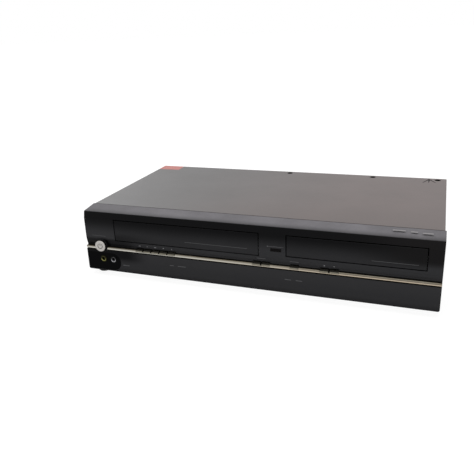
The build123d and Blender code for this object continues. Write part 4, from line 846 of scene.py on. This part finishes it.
def setSideScrews():
    z = middle("cover_screws").z
    places = [((x, frontEdgeY + depth * mm, z), (side, 0, 0))
              for x, side in ((coverLow.x, -1), (coverHigh.x, 1))
              for depth in sideScrews["depths"]]
    piece = makeScrews("sideScrews", places, sideScrews["radius"], sideScrews["height"])
    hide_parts("cover_screws")


def setRearScrews():
    low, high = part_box("rear_panel")
    inset = rearScrews["inset"]
    left, right = low.x + inset, high.x - inset
    places = []
    for z, between in ((high.z - inset, rearScrews["upper"]),
                       (low.z + inset, rearScrews["lower"])):
        for x in (left, *(spot * mm for spot in between), right):
            places.append(((x, high.y, z), (0, 1, 0)))
    makeScrews("rearScrews", places, rearScrews["radius"], rearScrews["height"])


def setBaseScrews():
    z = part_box("bottom_chassis")[0].z
    places = [((x * mm, frontEdgeY + depth * mm, z), (0, 0, -1))
              for x, depth in baseScrews["places"]]
    makeScrews("baseScrews", places, baseScrews["radius"], baseScrews["height"])


setSideScrews()
setRearScrews()
setBaseScrews()
print("screws set")

# the rear jacks' coloured rings and metal sleeves
rearRings = {"x": 57.0 * mm, "z": 32.0 * mm, "pitch": 14.0 * mm, "rows": 2,
             "inner": 4.25 * mm, "outer": 5.6 * mm, "thick": 0.9 * mm, "edge": 0.2 * mm,
             "sink": 0.1 * mm, "sleeveLength": 7.0 * mm,
             "columns": [("yellowRearRings", yellowRing, "yellow_collar"),
                         ("whiteRearRings", whiteRing, "white_collar"),
                         ("redRearRings", redRing, "white_collar"),
                         ("darkRearRings", blackAcetal, "black_acetal")]}


# evenly pitched places about a middle one
def pitched(centre, pitch, count):
    return [centre + (spot - (count - 1) / 2) * pitch for spot in range(count)]


def makeRearRings():
    xs = pitched(rearRings["x"], rearRings["pitch"], len(rearRings["columns"]))
    zs = pitched(rearRings["z"], rearRings["pitch"], rearRings["rows"])
    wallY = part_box("rear_panel")[1].y
    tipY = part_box("rear_jacks")[1].y - rearRings["sink"]
    inner, outer, thick = rearRings["inner"], rearRings["outer"], rearRings["thick"]
    edge, sink = rearRings["edge"], rearRings["sink"]
    ring = [(inner, -sink), (outer, -sink), (outer, thick - edge), (outer - edge, thick),
            (inner + edge, thick), (inner, thick - edge)]
    for x, (name, material, slotName) in zip(xs, rearRings["columns"]):
        def build(work):
            for z in zs:
                addTurned(work, ring, (x, wallY, z))
        newPiece(name, meshFrom(name, build, smoothAngle=40), material, "case")
    length = rearRings["sleeveLength"]
    sleeve = [(jackSleeve["inner"], 0.0), (jackSleeve["inner"], -length),
              (jackSleeve["outer"], -length), (jackSleeve["outer"], 0.0)]

    def buildSleeves(work):
        for x in xs:
            for z in zs:
                addTurned(work, sleeve, (x, tipY, z))
    newPiece("rearJackSleeves", meshFrom("rearJackSleeves", buildSleeves, smoothAngle=40), brightSteel,
             "case")


makeRearRings()

# a blank red label on the lid's rear left corner
lidLabel = {"left": -215.6 * mm, "right": -181.5 * mm, "front": 214.0 * mm,
            "rear": 235.4 * mm, "corner": 1.2 * mm, "cornerSteps": 4, "lift": 0.06 * mm}


def makeLabel():
    corner, steps = lidLabel["corner"], lidLabel["cornerSteps"]
    left, right = lidLabel["left"] + corner, lidLabel["right"] - corner
    front, rear = lidLabel["front"] + corner, lidLabel["rear"] - corner
    outline = []
    for x, depth, first in ((right, rear, 0), (left, rear, 90), (left, front, 180),
                            (right, front, 270)):
        for step in range(steps + 1):
            angle = math.radians(first + 90 * step / steps)
            outline.append((x + corner * math.cos(angle), depth + corner * math.sin(angle)))
    makeInlays("lidLabel", [outline], onLid, redLabel, "case", lift=lidLabel["lift"])


# three pen strokes from one point beside the right-hand hole, in mm across and back
pen = {"top": (193.6, 230.4), "ends": [(186.1, 212.4), (193.6, 213.9), (202.3, 214.2)],
       "halfWidth": 0.9, "taper": 0.5, "lift": 0.03 * mm}


def makePenMark():
    top = Vector(pen["top"])
    strokes = []
    for place in pen["ends"]:
        end = Vector(place)
        run = end - top
        side = Vector((-run.y, run.x)).normalized() * pen["halfWidth"]
        thin = side * pen["taper"]
        strokes.append([tuple(corner * mm)
                        for corner in (top - side, top + side, end + thin, end - thin)])
    makeInlays("penMark", strokes, onLid, penInk, "case", pen["lift"])


# black cups under the three holes at the lid's rear: painted shade that makes the holes read black
hub = 0.01 * mm  # a turned piece keeps this tiny radius at its axis
lidHoles = {"x": (-3.0 * mm, trayX - 8.0 * mm, coverHigh.x - 11.6 * mm), "back": 228.0 * mm,
            "radius": 3.5 * mm, "gap": 0.05 * mm, "wall": 0.5 * mm, "depth": 5.0 * mm,
            "rim": 0.5 * mm, "rimTop": 0.4 * mm, "lip": 0.15 * mm, "steps": 28}


def makeHoleShadeCups():
    outer, wall = lidHoles["radius"] - lidHoles["gap"], lidHoles["wall"]
    lip, low = lidHoles["lip"], -lidHoles["depth"]
    profile = [(hub, low), (outer, low), (outer, 0.0), (outer + lidHoles["rim"], 0.0),
               (outer + lidHoles["rimTop"], lip), (outer - wall, lip),
               (outer - wall, low + wall), (hub, low + wall)]

    def build(work):
        for x in lidHoles["x"]:
            addTurned(work, profile, (x, frontEdgeY + lidHoles["back"], coverHigh.z), "z",
                      lidHoles["steps"])
    newPiece("holeShadeCups", meshFrom("holeShadeCups", build, smoothAngle=40), holeShadeBlack, "case")


makeLabel()
makePenMark()
makeHoleShadeCups()
print("lid marks laid")

# the pickup's lens, domed over its seat in the sled
pickupLens = {"radius": 2.75 * mm, "rise": 0.7 * mm, "seat": 0.45 * mm, "ahead": 4.0 * mm,
              "rings": 6, "steps": 36}


def makeLens():
    y = middle("pickup_sled").y - pickupLens["ahead"]
    centre = (trayX, y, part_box("pickup_sled")[1].z)
    radius, rise, seat = pickupLens["radius"], pickupLens["rise"], pickupLens["seat"]
    profile = [(hub, -seat), (radius, -seat), (radius, 0.0)]
    for ring in range(1, pickupLens["rings"] + 1):
        angle = math.pi / 2 * ring / pickupLens["rings"]
        profile.append((max(radius * math.cos(angle), hub), rise * math.sin(angle)))

    def build(work):
        addTurned(work, profile, centre, "z", pickupLens["steps"])
    newPiece("pickupLens", meshFrom("pickupLens", build, smoothAngle=50), lensGlass, "pickup_sled")


makeLens()
print("lens set")

# white floor and surround; the floor's glow rises with the distance from the deck
stageLook = {"floorSize": 30.0, "floorTone": 0.24, "nearGlow": 0.88, "farGlow": 1.05,
             "near": 0.35, "far": 1.6, "bounceTone": 0.55, "ambient": 0.42}


def seenRays(tree):
    path = addNode(tree, "LightPath").outputs
    seen = addMath(tree, "MAXIMUM", path["Is Camera Ray"], path["Is Glossy Ray"])
    return addMath(tree, "MAXIMUM", seen, path["Is Transmission Ray"])


# the second shader where a camera or a mirror looks, and the first for the light that bounces
def mixSeen(tree, bounced, seen):
    mix = addNode(tree, "MixShader", Fac=seenRays(tree))
    feed(tree, mix.inputs[1], bounced.outputs[0])
    feed(tree, mix.inputs[2], seen.outputs[0])
    return mix.outputs[0]


def makeFloor():
    half = stageLook["floorSize"] / 2
    mesh = bpy.data.meshes.new("studioFloor")
    mesh.from_pydata([(-half, -half, 0), (half, -half, 0), (half, half, 0), (-half, half, 0)],
                     [], [(0, 1, 2, 3)])
    floor = bpy.data.objects.new("studioFloor", mesh)
    scene.collection.objects.link(floor)
    material = bpy.data.materials.new("floorWhite")
    material.use_nodes = True
    tree = material.node_tree
    tree.nodes.clear()
    end = tree.nodes.new("ShaderNodeOutputMaterial")
    away = addNode(tree, "VectorMath", {"operation": "LENGTH"})
    feed(tree, away.inputs[0], addNode(tree, "NewGeometry").outputs["Position"])
    rise = addNode(tree, "MapRange", Value=away.outputs["Value"], From_Min=stageLook["near"],
                   From_Max=stageLook["far"], To_Min=stageLook["nearGlow"],
                   To_Max=stageLook["farGlow"])
    glow = addNode(tree, "Emission", Strength=rise.outputs["Result"])
    shadowed = addNode(tree, "BsdfDiffuse", Color=(stageLook["floorTone"],) * 3)
    both = tree.nodes.new("ShaderNodeAddShader")
    feed(tree, both.inputs[0], shadowed.outputs[0])
    feed(tree, both.inputs[1], glow.outputs[0])
    bounce = addNode(tree, "BsdfDiffuse", Color=(stageLook["bounceTone"],) * 3)
    feed(tree, end.inputs["Surface"], mixSeen(tree, bounce, both))
    mesh.materials.append(material)


def makeWorld():
    world = bpy.data.worlds.new("studioWorld")
    scene.world = world
    world.use_nodes = True
    tree = world.node_tree
    tree.nodes.clear()
    end = tree.nodes.new("ShaderNodeOutputWorld")
    white = (1.0, 1.0, 1.0)
    ambient = addNode(tree, "Background", Color=white, Strength=stageLook["ambient"])
    seen = addNode(tree, "Background", Color=white, Strength=1.0)
    feed(tree, end.inputs["Surface"], mixSeen(tree, ambient, seen))


lamps = {
    "topLamp": {"place": (-0.2, -0.1, 1.7), "aim": (0, 0, 0), "size": (2.4, 1.8),
                "power": 17.0, "colour": (1.0, 0.995, 0.985)},
    "frontLamp": {"place": (0.9, -1.9, 0.9), "aim": (0, 0, 0.04), "size": (1.6, 1.0),
                  "power": 7.0, "colour": (1.0, 1.0, 1.0)},
    "backLamp": {"place": (-1.6, 1.2, 1.1), "aim": (0, 0, 0.04), "size": (1.4, 1.0),
                 "power": 6.0, "colour": (0.99, 0.995, 1.0)},
}


def makeLamps():
    for name, look in lamps.items():
        data = bpy.data.lights.new(name, "AREA")
        data.shape = "RECTANGLE"
        data.size, data.size_y = look["size"]
        data.energy = look["power"]
        data.color = look["colour"]
        lamp = bpy.data.objects.new(name, data)
        scene.collection.objects.link(lamp)
        lamp.location = look["place"]
        aim = Vector(look["aim"]) - Vector(look["place"])
        lamp.rotation_euler = aim.to_track_quat("-Z", "Y").to_euler()


makeFloor()
makeWorld()
makeLamps()

# the camera stands in front and to the right: its place, its own three axes and its lens
view = {"place": (0.2021, -0.69845, 0.3045), "right": (0.9309, 0.3623, -0.0456),
        "up": (-0.0824, 0.33, 0.9404), "back": (0.3557, -0.8717, 0.3371), "lens": 42.812,
        "sensor": 36.0, "shift": (0.04413, -0.02053), "clip": (0.01, 60.0)}


def makeCamera():
    data = bpy.data.cameras.new("viewCamera")
    data.lens = view["lens"]
    data.sensor_width = view["sensor"]
    data.sensor_fit = "HORIZONTAL"
    data.shift_x, data.shift_y = view["shift"]
    data.clip_start, data.clip_end = view["clip"]
    camera = bpy.data.objects.new("viewCamera", data)
    scene.collection.objects.link(camera)
    turn = Matrix((view["right"], view["up"], view["back"])).transposed()
    camera.matrix_world = Matrix.Translation(view["place"]) @ turn.to_4x4()
    scene.camera = camera


makeCamera()
scene.view_settings.view_transform = "Standard"
print("stage set")
